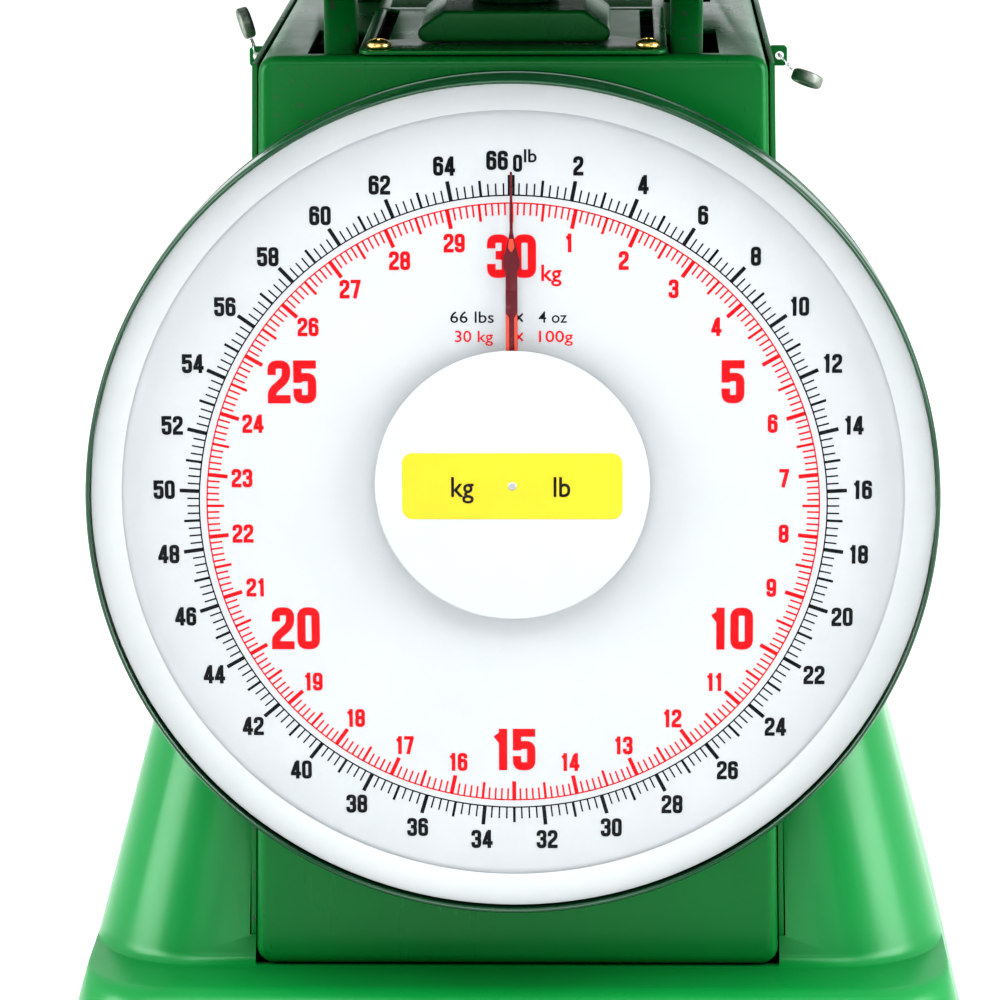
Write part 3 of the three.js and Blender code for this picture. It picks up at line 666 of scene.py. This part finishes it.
skirt = skirt_solid("skirt_shell", 0, HEM_Z)
carve(skirt, [
    skirt_solid("skirt_hollow", SHEET, HEM_Z - 10),
    column_room("room", -GAP, 5, COLUMN_FRONT + 4.5 - GAP, COLUMN_REAR + GAP),
    column_room("front_room", SHEET, LEDGE_Z + 0.15, COLUMN_FRONT - 30, COLUMN_FRONT + 4.5),
])
soften(skirt, 0.35)
# The skirt wears the lighter green, painted light for its brighter walls.
piece(skirt, "housing", "green_paint", SKIRT_PAINTED_LIGHT_GREEN, "base_skirt")


def foot(name, x, y):
    profile = [(0, 0), (8.4, 0), (9, 0.8), (10.2, 0.8), (10.8, 0.2), (11.6, 0.3), (12.3, 1.0), (12.5, 1.8)]
    profile += [(11.9, 3.2), (11.9, 3.7), (11.5, 4.2), (11.2, 6.9), (10.6, 7.5), (0, 7.5)]
    return lathe(name, profile, "z", (x, y, 0), 64)


for end, y in (("front", BODY_Y - FOOT_Y), ("rear", BODY_Y + FOOT_Y)):
    for side, x in (("left", -FOOT_X), ("right", FOOT_X)):
        piece(foot(f"rubber_foot_{end}_{side}", x, y), "housing", "rubber", RUBBER, f"foot_{end}_{side}")

# ---------- column ----------


# Heights that a cut through the column's top reaches from and to, and the springs' distance from the middle.
CUT_LOW = 300
CUT_HIGH = 330
SPRING_X = 38.2


def post_cut(name, side, near, far, front, length):
    """A straight cut for a post, between two distances from the post's middle."""
    x0, x1 = sorted((side * (POST_X + near), side * (POST_X + far)))
    return block(name, x0, x1, front, front + length, CUT_LOW, CUT_HIGH)


def spring_slot(side):
    corners = rectangle(1.9, 36, side * SPRING_X, COLUMN_FRONT + 61.5)
    return slab("spring_slot", corners, 1.8, CUT_LOW, CUT_HIGH)


def top_slots():
    front = POST_FRONT - 1.5
    rear = 2 * BODY_Y - front
    tools = []
    for side in (-1, 1):
        tools += [post_cut("slot", side, -5.2, 9.2, y, 54) for y in (front, rear - 54)]
        tools += [post_cut("notch", side, -8.4, -4.6, y, 16) for y in (front + 14, rear - 30)]
        tools.append(spring_slot(side))
    return tools


cover_rear = COLUMN_REAR - SHEET - GAP
past_rear = cover_rear + 20
cover_outline = column_corners(SHEET + GAP, LEDGE_Z + GAP, COLUMN_TOP)
cover = slab("column_cover", cover_outline, 5, COLUMN_FRONT, cover_rear + 8, 3, 3, FRONT_PLANE, 6)
inside_outline = column_corners(2 * SHEET + GAP, LEDGE_Z - 20, COLUMN_TOP - SHEET)
carve(cover, [
    slab("inside", inside_outline, 4, COLUMN_FRONT + SHEET, past_rear, plane=FRONT_PLANE),
    block("behind", -90, 90, COLUMN_FRONT + 14, past_rear, 0, COLUMN_TOP - 8),
    block("tail", -90, 90, cover_rear, past_rear, 0, 400),
    rod("dial_hole", 30, COLUMN_FRONT - 5, COLUMN_FRONT + 5, AXIS_CENTRE, 64),
    *top_slots(),
])
soften(cover, 0.3)
piece(cover, "housing", "green_paint", GREEN, "front_cover")

walls_front = COLUMN_FRONT + 4.5
ahead_of_walls = walls_front - 20
walls_outline = column_corners(0, 12, COLUMN_TOP + 7.4)
walls = slab("column_walls", walls_outline, 6, walls_front - 8, COLUMN_REAR, 0.5, 4, FRONT_PLANE, 6)
inside_outline = column_corners(SHEET, -8, COLUMN_TOP + 27.4)
carve(walls, [
    slab("walls_inside", inside_outline, 0.5, ahead_of_walls, COLUMN_REAR - SHEET, plane=FRONT_PLANE),
    block("ahead", -90, 90, ahead_of_walls, walls_front, 0, 400),
    block("above", -90, 90, ahead_of_walls, COLUMN_REAR + 20, COLUMN_TOP - 2.6, 400),
])
soften(walls, 0.35)
piece(walls, "housing", "green_paint", GREEN, "column_housing")

cover_outline = [(-52, 222), (52, 222), (52, 302), (-52, 302)]
rear_cover = slab("service_cover", cover_outline, 8, COLUMN_REAR + 0.3, COLUMN_REAR + 2.1, 0.2, 0.9,
                  FRONT_PLANE, 12)
piece(rear_cover, "housing", "green_paint", GREEN, "rear_cover")


def screw(name, radius, height):
    """A domed cross-head screw standing on nought along +Z."""
    turns = [math.radians(90 * k / 8) for k in range(9)]
    crown = [(radius * math.cos(t), height * (0.35 + 0.65 * math.sin(t))) for t in turns]
    crown[-1] = (0, height)
    head = lathe(name, [(0, 0), (radius * 0.94, 0), (radius, height * 0.12)] + crown, "z", segments=48)
    arm, half = radius * 0.52, radius * 0.13
    bits = [block("bit", -arm, arm, -half, half, height * 0.45, height * 2),
            block("bit", -half, half, -arm, arm, height * 0.45, height * 2)]
    return soften(carve(head, bits), 0.08)


for row, z in (("upper", 294), ("lower", 230)):
    for side, x in (("left", -45), ("right", 45)):
        turn = Matrix.Rotation(random.Random(z + x).uniform(0, 1.5), 4, "Z")
        place = shift(x, COLUMN_REAR + 2.4, z) @ Matrix.Rotation(-math.pi / 2, 4, "X")
        head = settle(screw(f"cover_screw_{row}_{side}", 3.6, 2), place @ turn)
        piece(head, "housing", "steel", ZINC, f"rear_cover_screw_{row}_{side}")

# ---------- dial ----------

DRUM_BACK = COLUMN_FRONT - GAP
DRUM_RADIUS = 119.1
GLASS_RADIUS = 119.1
BEZEL_RADIUS = 120.3
PLATE_RADIUS = 111


def arc(centre_radius, centre_y, radius, start, end, steps=8):
    """Profile points on an arc, its angles in degrees from outwards towards +Y."""
    turns = [math.radians(start + (end - start) * k / steps) for k in range(steps + 1)]
    return [(centre_radius + radius * math.cos(t), centre_y + radius * math.sin(t)) for t in turns]


def measured_from(y, profile):
    """A profile whose distances along Y are measured from y."""
    return [(radius, y + along) for radius, along in profile]


drum_profile = [(10, DRUM_BACK), *arc(112.1, DRUM_BACK - 7, 7, 90, 0)]
for bead_y in (-102.5, -111.8):
    drum_profile += arc(119.0, bead_y, 0.75, 80, -80, 6)
drum_profile += [(DRUM_RADIUS, -119.3), (DRUM_RADIUS - 1.2, -119.3), (DRUM_RADIUS - 1.2, DRUM_BACK - 7)]
drum_profile += [(111.4, DRUM_BACK - 1.2), (10, DRUM_BACK - 1.2)]
drum = lathe("dial_case", drum_profile, "y", DIAL_CENTRE, 224)
piece(drum, "housing", "green_paint", RIM_GREEN, "dial_drum")

BEZEL_LIP = [(BEZEL_RADIUS, 10), (BEZEL_RADIUS, 6), (BEZEL_RADIUS, 2), (120.05, 0.7), (119.5, 0.02),
             (119.0, 0.3), (118.9, 0.8), (119.1, 1.4)]
BEZEL_INSIDE = [(119.5, 1.9), (119.5, 10)]
lip = smooth_path([(radius, y, 0) for radius, y in measured_from(DIAL_FRONT, BEZEL_LIP)], 5)
bezel_profile = [(p.x, p.y) for p in lip] + measured_from(DIAL_FRONT, BEZEL_INSIDE)
bezel = lathe("dial_bezel", bezel_profile, "y", DIAL_CENTRE, 256)
piece(bezel, "housing", "green_paint", RIM_GREEN, "bezel_ring")


def bulge(radius, rim, rise, steps=12):
    """Profile points of a shallow dome, from its middle to its rim."""
    shares = [k / steps for k in range(steps + 1)]
    return [(radius * share, rim - rise * (1 - share * share)) for share in shares]


glass_front = bulge(GLASS_RADIUS, DIAL_FRONT + 2.5, 1.8)
glass_back = bulge(GLASS_RADIUS, DIAL_FRONT + 4.5, 1.8)
glass = lathe("dial_window", glass_front + glass_back[::-1], "y", DIAL_CENTRE, 192, 60)
piece(glass, "housing", "dial_glass", GLASS, "dial_glass")

surround_profile = [(111.4, PLATE_FRONT - 0.6), (118.9, DIAL_FRONT + 4.8), (118.2, DIAL_FRONT + 4.8),
                    (110.6, PLATE_FRONT - 1.5)]
surround = lathe("dial_border", surround_profile, "y", DIAL_CENTRE, 192)
piece(surround, "housing", "white_enamel", WHITE, "dial_surround")

bore = rod("bore", 8, PLATE_FRONT - 5, PLATE_FRONT + 5, AXIS_CENTRE, 48)
plate = carve(rod("dial_face", PLATE_RADIUS, PLATE_FRONT + 1, PLATE_FRONT, DIAL_CENTRE, 192), [bore])
piece(plate, "housing", "dial_print", DIAL_WHITE, "dial_plate")

INK_FRONT = PLATE_FRONT - 0.05
INK_BACK = PLATE_FRONT + 0.02
RING_WIDTH = 0.34
POUND_RING = 88.8
KILO_RING = 86.6
POUND_NUMBERS = 98.8
KILO_NUMBERS = 77
KILO_FIVES = 71.6


def ink(points, faces, outline, front=INK_FRONT, back=INK_BACK):
    """Adds a thin printed shape, from its outline in X and Z, to lists of points and faces."""
    start, count = len(points), len(outline)
    points += [(x, y, z) for y in (front, back) for x, z in outline]
    faces.append(tuple(range(start, start + count)))
    faces.append(tuple(range(start + count, start + 2 * count))[::-1])
    for i in range(count):
        j = (i + 1) % count
        faces.append((start + i, start + count + i, start + count + j, start + j))


def tick(points, faces, turn, near, far, width):
    along = Vector((math.sin(turn), math.cos(turn)))
    across = Vector((math.cos(turn), -math.sin(turn))) * (width / 2)
    middle = Vector((0, AXIS_Z))
    ink(points, faces, [middle + along * near - across, middle + along * far - across,
                        middle + along * far + across, middle + along * near + across])


def ring_line(points, faces, radius, width, steps=240):
    inner, outer = radius - width / 2, radius + width / 2
    for k in range(steps):
        a, b = ONE_TURN * k / steps, ONE_TURN * (k + 1) / steps
        corners = ((inner, a), (outer, a), (outer, b), (inner, b))
        ink(points, faces, [(r * math.sin(t), AXIS_Z + r * math.cos(t)) for r, t in corners])


def scale_marks(name, divisions, radius, outward, lengths):
    """A ring with a mark for each division. lengths gives every nth mark its reach and width."""
    points, faces = [], []
    ring_line(points, faces, radius, RING_WIDTH)
    for i in range(divisions):
        reach, width = next((reach, width) for every, reach, width in lengths if i % every == 0)
        tick(points, faces, ONE_TURN * i / divisions, radius, radius + outward * reach, width)
    return make(name, points, faces)


pound_lengths = [(264, 5.7, 1.9), (8, 5.6, 1.05), (4, 4.5, 0.7), (1, 3.4, 0.4)]
kilo_lengths = [(10, 5.5, 1.1), (5, 4.8, 0.7), (1, 3.4, 0.45)]
pound_marks = scale_marks("pound_marks", 264, POUND_RING, 1, pound_lengths)
kilo_marks = scale_marks("kilogram_marks", 300, KILO_RING, -1, kilo_lengths)
piece(pound_marks, "housing", "dial_print", BLACK_INK)
piece(kilo_marks, "housing", "dial_print", RED_INK)


# Digits are drawn in shares of their height, by strokes as wide as STEM.
STEM = 0.19
DIGIT_WIDTH = 0.52
ONE_WIDTH = 0.40
DIGIT_GAP = 0.07
LEFT, RIGHT = -(DIGIT_WIDTH - STEM) / 2, (DIGIT_WIDTH - STEM) / 2
LOW, HIGH = -(1 - STEM) / 2, (1 - STEM) / 2
# Steps of a stroke lie this far over one another, and each stroke starts this many steps over the last.
INK_STEP = 0.003
STROKE_STEPS = 12
FIRST_STEP = 0.5
DIGIT_STROKES = {
    "0": [[(LEFT, 0), (LEFT, HIGH), (RIGHT, HIGH), (RIGHT, LOW), (LEFT, LOW), (LEFT, 0)]],
    "1": [[(0.04, LOW - STEM / 2), (0.04, HIGH + STEM / 2)], [(-0.12, 0.24), (0.04, 0.36)]],
    "2": [[(LEFT, 0.16), (LEFT, HIGH), (RIGHT, HIGH), (RIGHT, 0.08), (LEFT, -0.22), (LEFT, LOW + 0.02)],
          [(LEFT - STEM / 2, LOW), (RIGHT + STEM / 2, LOW)]],
    "3": [[(LEFT, 0.18), (LEFT, HIGH), (RIGHT, HIGH), (RIGHT, 0.03), (LEFT + 0.1, 0.02)],
          [(LEFT + 0.1, 0.02), (RIGHT, 0.01), (RIGHT, LOW), (LEFT, LOW), (LEFT, -0.18)]],
    "4": [[(0.1, LOW - STEM / 2), (0.1, HIGH + STEM / 2)], [(0.04, HIGH), (LEFT, -0.2)],
          [(LEFT - STEM / 2, -0.22), (RIGHT + STEM / 2 + 0.02, -0.22)]],
    "5": [[(RIGHT + STEM / 2, HIGH), (LEFT - STEM / 2, HIGH)], [(LEFT, HIGH), (LEFT, -0.02)],
          [(LEFT, 0.1), (RIGHT, 0.12), (RIGHT, LOW), (LEFT, LOW), (LEFT, -0.16)]],
    "6": [[(RIGHT, 0.2), (RIGHT, HIGH), (LEFT, HIGH), (LEFT, LOW), (RIGHT, LOW), (RIGHT, 0.08),
           (LEFT, 0.08)]],
    "7": [[(LEFT - STEM / 2, HIGH), (RIGHT + STEM / 2, HIGH)],
          [(RIGHT, HIGH + 0.02), (-0.06, LOW - STEM / 2)]],
    "8": [[(0, 0.02), (LEFT, 0.02), (LEFT, HIGH), (RIGHT, HIGH), (RIGHT, 0.02), (0, 0.02)],
          [(0, 0.02), (LEFT, 0.02), (LEFT, LOW), (RIGHT, LOW), (RIGHT, 0.02), (0, 0.02)]],
    "9": [[(LEFT, -0.2), (LEFT, LOW), (RIGHT, LOW), (RIGHT, HIGH), (LEFT, HIGH), (LEFT, -0.08),
           (RIGHT, -0.08)]],
}


def softened(path, reach=0.13, steps=4):
    """A path whose corners are turned into short curves."""
    path = [Vector(p) for p in path]
    line = [path[0]]
    for before, corner, after in zip(path, path[1:], path[2:]):
        start = corner + (before - corner).normalized() * min(reach, (before - corner).length / 2)
        end = corner + (after - corner).normalized() * min(reach, (after - corner).length / 2)
        for k in range(steps + 1):
            t = k / steps
            line.append(start * (1 - t) ** 2 + corner * (2 * t * (1 - t)) + end * t ** 2)
    line.append(path[-1])
    return [p for i, p in enumerate(line) if i == 0 or (p - line[i - 1]).length > 1e-4]


def brushed(points, faces, path, width, layer):
    """Inks a stroke of one width along a path, each step a hair over the last."""
    sides = []
    for i, point in enumerate(path):
        ahead = heading(path, i)
        across = Vector((-ahead.y, ahead.x)) * (width / 2)
        sides.append((point + across, point - across))
    for i, ((a, b), (c, d)) in enumerate(zip(sides, sides[1:])):
        ink(points, faces, [a, b, d, c], INK_FRONT - INK_STEP * (i + layer))


def numeral(points, faces, text, height, x, z):
    """A number in narrow heavy digits, its middle at x and z."""
    widths = [(ONE_WIDTH if digit == "1" else DIGIT_WIDTH) + DIGIT_GAP for digit in text]
    left = x - sum(widths) * height / 2
    for digit, width in zip(text, widths):
        middle = Vector((left + width * height / 2, z))
        for i, stroke in enumerate(DIGIT_STROKES[digit]):
            path = [middle + p * height for p in softened(stroke)]
            brushed(points, faces, path, STEM * height, i * STROKE_STEPS + FIRST_STEP)
        left += width * height


def numbers(name, entries):
    points, faces = [], []
    for text, height, x, z in entries:
        numeral(points, faces, text, height, x, z)
    return make(name, points, faces)


CAPITAL = 0.73


def lettering(text, height, x, z, squeeze, weight, anchor="middle", front=INK_FRONT, back=INK_BACK):
    """Upright text in X and Z. Its height is its capitals', x its middle or left end, z its middle line."""
    curve = bpy.data.curves.new("text", "FONT")
    curve.body = text
    curve.offset = weight
    curve.extrude = 0.05
    curve.resolution_u = 3
    obj = bpy.data.objects.new("text", curve)
    bpy.context.scene.collection.objects.link(obj)
    graph = bpy.context.evaluated_depsgraph_get()
    mesh = bpy.data.meshes.new_from_object(obj.evaluated_get(graph))
    bpy.data.objects.remove(obj)
    points = [v.co for v in mesh.vertices]
    left, right = min(p.x for p in points), max(p.x for p in points)
    size = height / CAPITAL
    wide = size * squeeze
    start = x - (right - left) / 2 * wide if anchor == "middle" else x
    for vertex in mesh.vertices:
        u, v, w = vertex.co
        depth = back if w < 0 else front
        vertex.co = Vector((start + (u - left) * wide, depth, z + (v - CAPITAL / 2) * size)) * MM
    letters = bpy.data.objects.new("letters", mesh)
    bpy.context.scene.collection.objects.link(letters)
    return letters


def on_dial(radius, share):
    turn = ONE_TURN * share
    return radius * math.sin(turn), AXIS_Z + radius * math.cos(turn)


black_numbers = [(str(n), 5.4, *on_dial(POUND_NUMBERS, n / 66)) for n in range(2, 66, 2)]
black_numbers += [("66", 5.4, -3.9, AXIS_Z + 98.6), ("0", 4.8, 1.8, AXIS_Z + 97.8)]
red_numbers = [(str(n), 5.3, *on_dial(KILO_NUMBERS, n / 30)) for n in range(1, 30) if n % 5]
red_numbers += [(str(n), 12.3, *on_dial(KILO_FIVES, n / 30)) for n in range(5, 31, 5)]
piece(numbers("pound_numbers", black_numbers), "housing", "dial_print", BLACK_INK)
piece(numbers("kilogram_numbers", red_numbers), "housing", "dial_print", RED_INK)

black_words = [
    lettering("lb", 3.8, 3.6, AXIS_Z + 100, 1.05, 0.012, "left"),
    lettering("66 lbs", 3.4, -17.3, AXIS_Z + 54.4, 1.14, 0.003, "left"),
    lettering("\u00d7", 4.6, 2.0, AXIS_Z + 54.2, 0.9, 0.0),
    lettering("4 oz", 3.4, 7.5, AXIS_Z + 54.4, 0.98, 0.003, "left"),
]
red_words = [
    lettering("kg", 4.8, 8.3, AXIS_Z + 67.0, 1.0, 0.012, "left"),
    lettering("30 kg", 3.4, -16.0, AXIS_Z + 48.9, 1.08, 0.003, "left"),
    lettering("\u00d7", 4.6, 2.0, AXIS_Z + 48.7, 0.9, 0.0),
    lettering("100g", 3.4, 7.6, AXIS_Z + 48.9, 1.18, 0.003, "left"),
]
piece(joined("pound_words", black_words), "housing", "dial_print", BLACK_INK)
piece(joined("kilogram_words", red_words), "housing", "dial_print", RED_INK)

DISC_FRONT = DIAL_FRONT + 3.3
DISC_RADIUS = 38.2
disc_edge = arc(DISC_RADIUS, DISC_FRONT + 0.5, 0.5, 90, -90, 6)
disc_profile = [(0, DISC_FRONT + 1), (DISC_RADIUS, DISC_FRONT + 1), *disc_edge, (0, DISC_FRONT)]
disc = lathe("centre_plate", disc_profile, "y", DISC_CENTRE, 128)
piece(disc, "housing", "white_enamel", WHITE, "centre_disc")
badge = slab("plain_badge", rectangle(31, 9.5, 0, DISC_Z), 3, DISC_FRONT - 0.12, DISC_FRONT + 0.1, 0.05,
             plane=FRONT_PLANE)
piece(badge, "housing", "white_enamel", BADGE_YELLOW)
badge_words = [lettering(text, 6, x, DISC_Z, 0.9, 0.01, "middle", DISC_FRONT - 0.16, DISC_FRONT - 0.1)
               for text, x in (("kg", -14), ("lb", 14))]
piece(joined("badge_units", badge_words), "housing", "white_enamel", BLACK_INK)
stud_profile = measured_from(DISC_FRONT, [(0, 0), (1.3, 0), (1.25, -0.2), (0.8, -0.38), (0, -0.45)])
stud = lathe("badge_stud", stud_profile, "y", DISC_CENTRE, 32, 80)
piece(stud, "housing", "steel", ZINC)

# ---------- pointer ----------

BLADE_HALF = [(6, -30), (6, -12), (1.65, -6), (1.65, 67.4), (2.4, 69.6), (2.4, 70.8), (1, 76), (0.45, 79),
              (0.3, 95.8)]
BLADE_BACK = POINTER_FRONT + 0.8


def blade_solid():
    outline = [(x, AXIS_Z + z) for x, z in BLADE_HALF] + [(-x, AXIS_Z + z) for x, z in BLADE_HALF[::-1]]
    points, faces = [], []
    ink(points, faces, outline, POINTER_FRONT, BLADE_BACK)
    blade = make("pointer_blade", points, faces)
    carve(blade, [rod("boss", 5, POINTER_FRONT, BLADE_BACK, AXIS_CENTRE, 48)], "UNION")
    carve(blade, [rod("hole", 1.8, POINTER_FRONT - 3, POINTER_FRONT + 3, AXIS_CENTRE, 32)])
    return soften(blade, 0.14)


piece(blade_solid(), "pointer_set", "pointer_red", POINTER_RED, "pointer")


def pointer_facets():
    """Raised strips on the blade's folded edges and shoulder, coloured bright orange as a painted highlight
    where they catch the light.
    """
    outlines = []
    for side in (-1, 1):
        inner, outer = side * 0.75, side * 1.58
        outlines.append([(inner, 31), (inner, 54.6), (outer, 56), (outer, 31)])
    outlines.append([(-0.9, 74.6), (0, 73.2), (0.9, 74.6), (0.5, 77), (-0.5, 77)])
    points, faces = [], []
    for outline in outlines:
        raised = [(x, AXIS_Z + z) for x, z in outline]
        ink(points, faces, raised, POINTER_FRONT - 0.05, POINTER_FRONT + 0.1)
    return make("pointer_facets", points, faces)


# The strips carry the bright orange of the painted highlight.
piece(pointer_facets(), "pointer_set", "pointer_red", POINTER_PAINTED_HIGHLIGHT)

# ---------- top of the column ----------

PLATE_TOP = COLUMN_TOP + 1.5
hanger_front, hanger_rear, hanger_half = COLUMN_FRONT + 0.8, 14, 43.6
hanger_outline = [(-hanger_half, hanger_front), (hanger_half, hanger_front), (hanger_half, hanger_rear),
                  (-hanger_half, hanger_rear)]
hanger = slab("spring_hanger_plate", hanger_outline, 4, COLUMN_TOP + 0.3, PLATE_TOP)
carve(hanger, [spring_slot(-1), spring_slot(1)])
piece(soften(hanger, 0.25), "housing", "green_paint", GREEN, "hanger_plate")

HOOD_TOP = PLATE_TOP + 9.3


def hood_corners(inset, bottom):
    foot, crest = 33 - inset, 20 - inset * 0.6
    return [(-foot, bottom), (foot, bottom), (crest, HOOD_TOP - inset), (-crest, HOOD_TOP - inset)]


hood_front = COLUMN_FRONT + 17
hood_outline = hood_corners(0, PLATE_TOP + 0.3)
hood = slab("rack_cover", hood_outline, 2.5, hood_front, hood_front + 58, 1.1, 1.1, FRONT_PLANE)
hollow_outline = hood_corners(1.4, PLATE_TOP - 2.7)
carve(hood, [
    slab("hood_inside", hollow_outline, 1.1, hood_front + 1.4, hood_front + 56.6, plane=FRONT_PLANE),
])
piece(soften(hood, 0.2), "housing", "green_paint", GREEN, "rack_hood")

KNOB_Y = COLUMN_FRONT + 43
KNOB_RADIUS = 12.95
FLUTE_DEPTH = 0.45


def fluted_knob():
    """A knurled dial knob with rounded flutes, a soft top edge and a dished top."""
    flutes, steps = 18, 8
    z0 = HOOD_TOP + 0.3
    levels = [(-0.6, 0), (0, 0.5), (0, 5.8), (-0.4, 6.6), (-1.2, 7), (-3, 7), (-4.2, 6.4)]
    rings = []
    for grow, up in levels:
        ring = []
        for k in range(flutes * steps):
            turn = ONE_TURN * k / (flutes * steps)
            depth = FLUTE_DEPTH * (1 - math.cos(flutes * turn)) * (1.0 if grow > -1 else 0.3)
            radius = KNOB_RADIUS + grow - depth
            ring.append((radius * math.sin(turn), KNOB_Y + radius * math.cos(turn), z0 + up))
        rings.append(ring)
    return loft("zero_dial_knob", rings, 50)


piece(fluted_knob(), "knob", "knob_plastic", KNOB, "zero_knob")

for side, x in (("left", -SPRING_X), ("right", SPRING_X)):
    place = shift(x, COLUMN_FRONT + 6, PLATE_TOP + 0.3) @ Matrix.Rotation(0.6 + x, 4, "Z")
    head = settle(screw(f"hanger_bolt_{side}", 3.5, 2.6), place)
    piece(head, "housing", "brass", BRASS, f"hanger_screw_{side}")

# ---------- load frame and pan ----------


def copied(node, name):
    """A piece in the same form as a node of the frame."""
    obj = bpy.data.objects.new(name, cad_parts[node].data.copy())
    bpy.context.scene.collection.objects.link(obj)
    return finish_mesh(obj, 50)


for side in ("left", "right"):
    posts = copied(f"side_frame_{side}", f"load_posts_{side}")
    piece(posts, "platform", "green_paint", GREEN, f"side_frame_{side}")

SPIDER_Z = 340
spider = slab("pan_bridge", rectangle(POST_X + 11, 93, 0, BODY_Y), 8, SPIDER_Z, SPIDER_Z + 4, 0.5, 0.5)
carve(spider, [slab("bridge_window", rectangle(POST_X - 11, 68, 0, BODY_Y), 8, SPIDER_Z - 5, SPIDER_Z + 9)])
piece(soften(spider, 0.4), "platform", "green_paint", GREEN, "pan_spider")

PAN_HALF = 120
PAN_CORNER = 16
pan_outline = rectangle(PAN_HALF, PAN_HALF, 0, BODY_Y)
pan = slab("steel_pan", pan_outline, PAN_CORNER, PAN_TOP - 20, PAN_TOP, 0, 3.2, steps=16)
pan_outline = rectangle(PAN_HALF - SHEET, PAN_HALF - SHEET, 0, BODY_Y)
carve(pan, [
    slab("pan_inside", pan_outline, PAN_CORNER - SHEET, PAN_TOP - 30, PAN_TOP - SHEET, 0, 2, steps=16),
    block("below", -200, 200, -200, 200, 300, PAN_TOP - 10),
])
piece(soften(pan, 0.4, 3), "platform", "steel", STEEL, "weighing_pan")

# ---------- lead seals ----------

SEAL_Y = -20
SEAL_Z = 306


def seal_eye(side):
    return side * (column_half(SEAL_Z) + GAP + 3.2)


def seal_tab(name, side):
    wall = column_half(SEAL_Z) + GAP
    x0, x1 = sorted((side * wall, side * (wall + 5.4)))
    corners = [(x0, SEAL_Z - 3), (x1, SEAL_Z - 3), (x1, SEAL_Z + 3), (x0, SEAL_Z + 3)]
    tab = slab(name, corners, 1.2, SEAL_Y - 0.7, SEAL_Y + 0.7, 0.15, 0.15, FRONT_PLANE)
    return carve(tab, [rod("eye", 1.3, SEAL_Y - 5, SEAL_Y + 5, (seal_eye(side), 0, SEAL_Z), 32)])


def seal_wire(name, side, end):
    """Two fine strands twisted together, through the tab's eye and back to the seal."""
    eye = seal_eye(side)
    x, z = end
    near = ((x * 2 + eye) / 3, (z * 2 + SEAL_Z) / 3)
    route = smooth_path([
        (x, SEAL_Y - 1.2, z),
        (near[0], SEAL_Y - 2.2, near[1]),
        (eye, SEAL_Y - 1.8, SEAL_Z),
        (eye, SEAL_Y, SEAL_Z),
        (eye, SEAL_Y + 1.8, SEAL_Z),
        (near[0], SEAL_Y + 2.2, near[1]),
        (x, SEAL_Y + 1.2, z),
    ], 10)
    strands = []
    for phase in (0, math.pi):
        path = []
        for i, point in enumerate(route):
            ahead = heading(route, i)
            out = Vector((0, 0, 1)).cross(ahead)
            out = out.normalized() if out.length > 0.1 else Vector((1, 0, 0))
            turn = phase + i * 0.7
            path.append(point + (out * math.cos(turn) + ahead.cross(out) * math.sin(turn)) * 0.2)
        strands.append(tube(f"{name}_strand", path, 0.21, 8))
    return joined(name, strands)


def lead_seal(name, x, z, tilt, lean):
    """A crimped lead disc with a sunk ring on each face."""
    half = [(0, 1.35), (2.2, 1.35), (2.6, 1.8), (3.7, 1.8), *arc(3.7, 0.8, 1.0, 90, 0, 5)]
    profile = half + [(radius, -y) for radius, y in half[::-1]]
    disc = lathe(name, profile, "y", segments=48, angle=60)
    turned = Matrix.Rotation(lean, 4, "Y") @ Matrix.Rotation(math.pi / 2 + tilt, 4, "Z")
    return settle(disc, shift(x, SEAL_Y, z) @ turned)


# Each side's sign, the end of its wire in X and Z, and its seal's middle in X and Z, tilt and lean.
SEALS = (
    ("left", -1, (-79.5, 311.2), (-81, 316, 0.2, -0.3)),
    ("right", 1, (81.5, 302), (86, 299, 0.25, -1.2)),
)
for name, side, wire_end, seal in SEALS:
    lug = seal_tab(f"seal_lug_{name}", side)
    piece(lug, "housing", "green_paint", GREEN, f"seal_tab_{name}")
    wire = seal_wire(f"seal_twist_{name}", side, wire_end)
    piece(wire, "housing", "seal_metal", ZINC, f"seal_wire_{name}")
    slug = lead_seal(f"lead_slug_{name}", *seal)
    piece(slug, "housing", "seal_metal", LEAD, f"lead_seal_{name}")
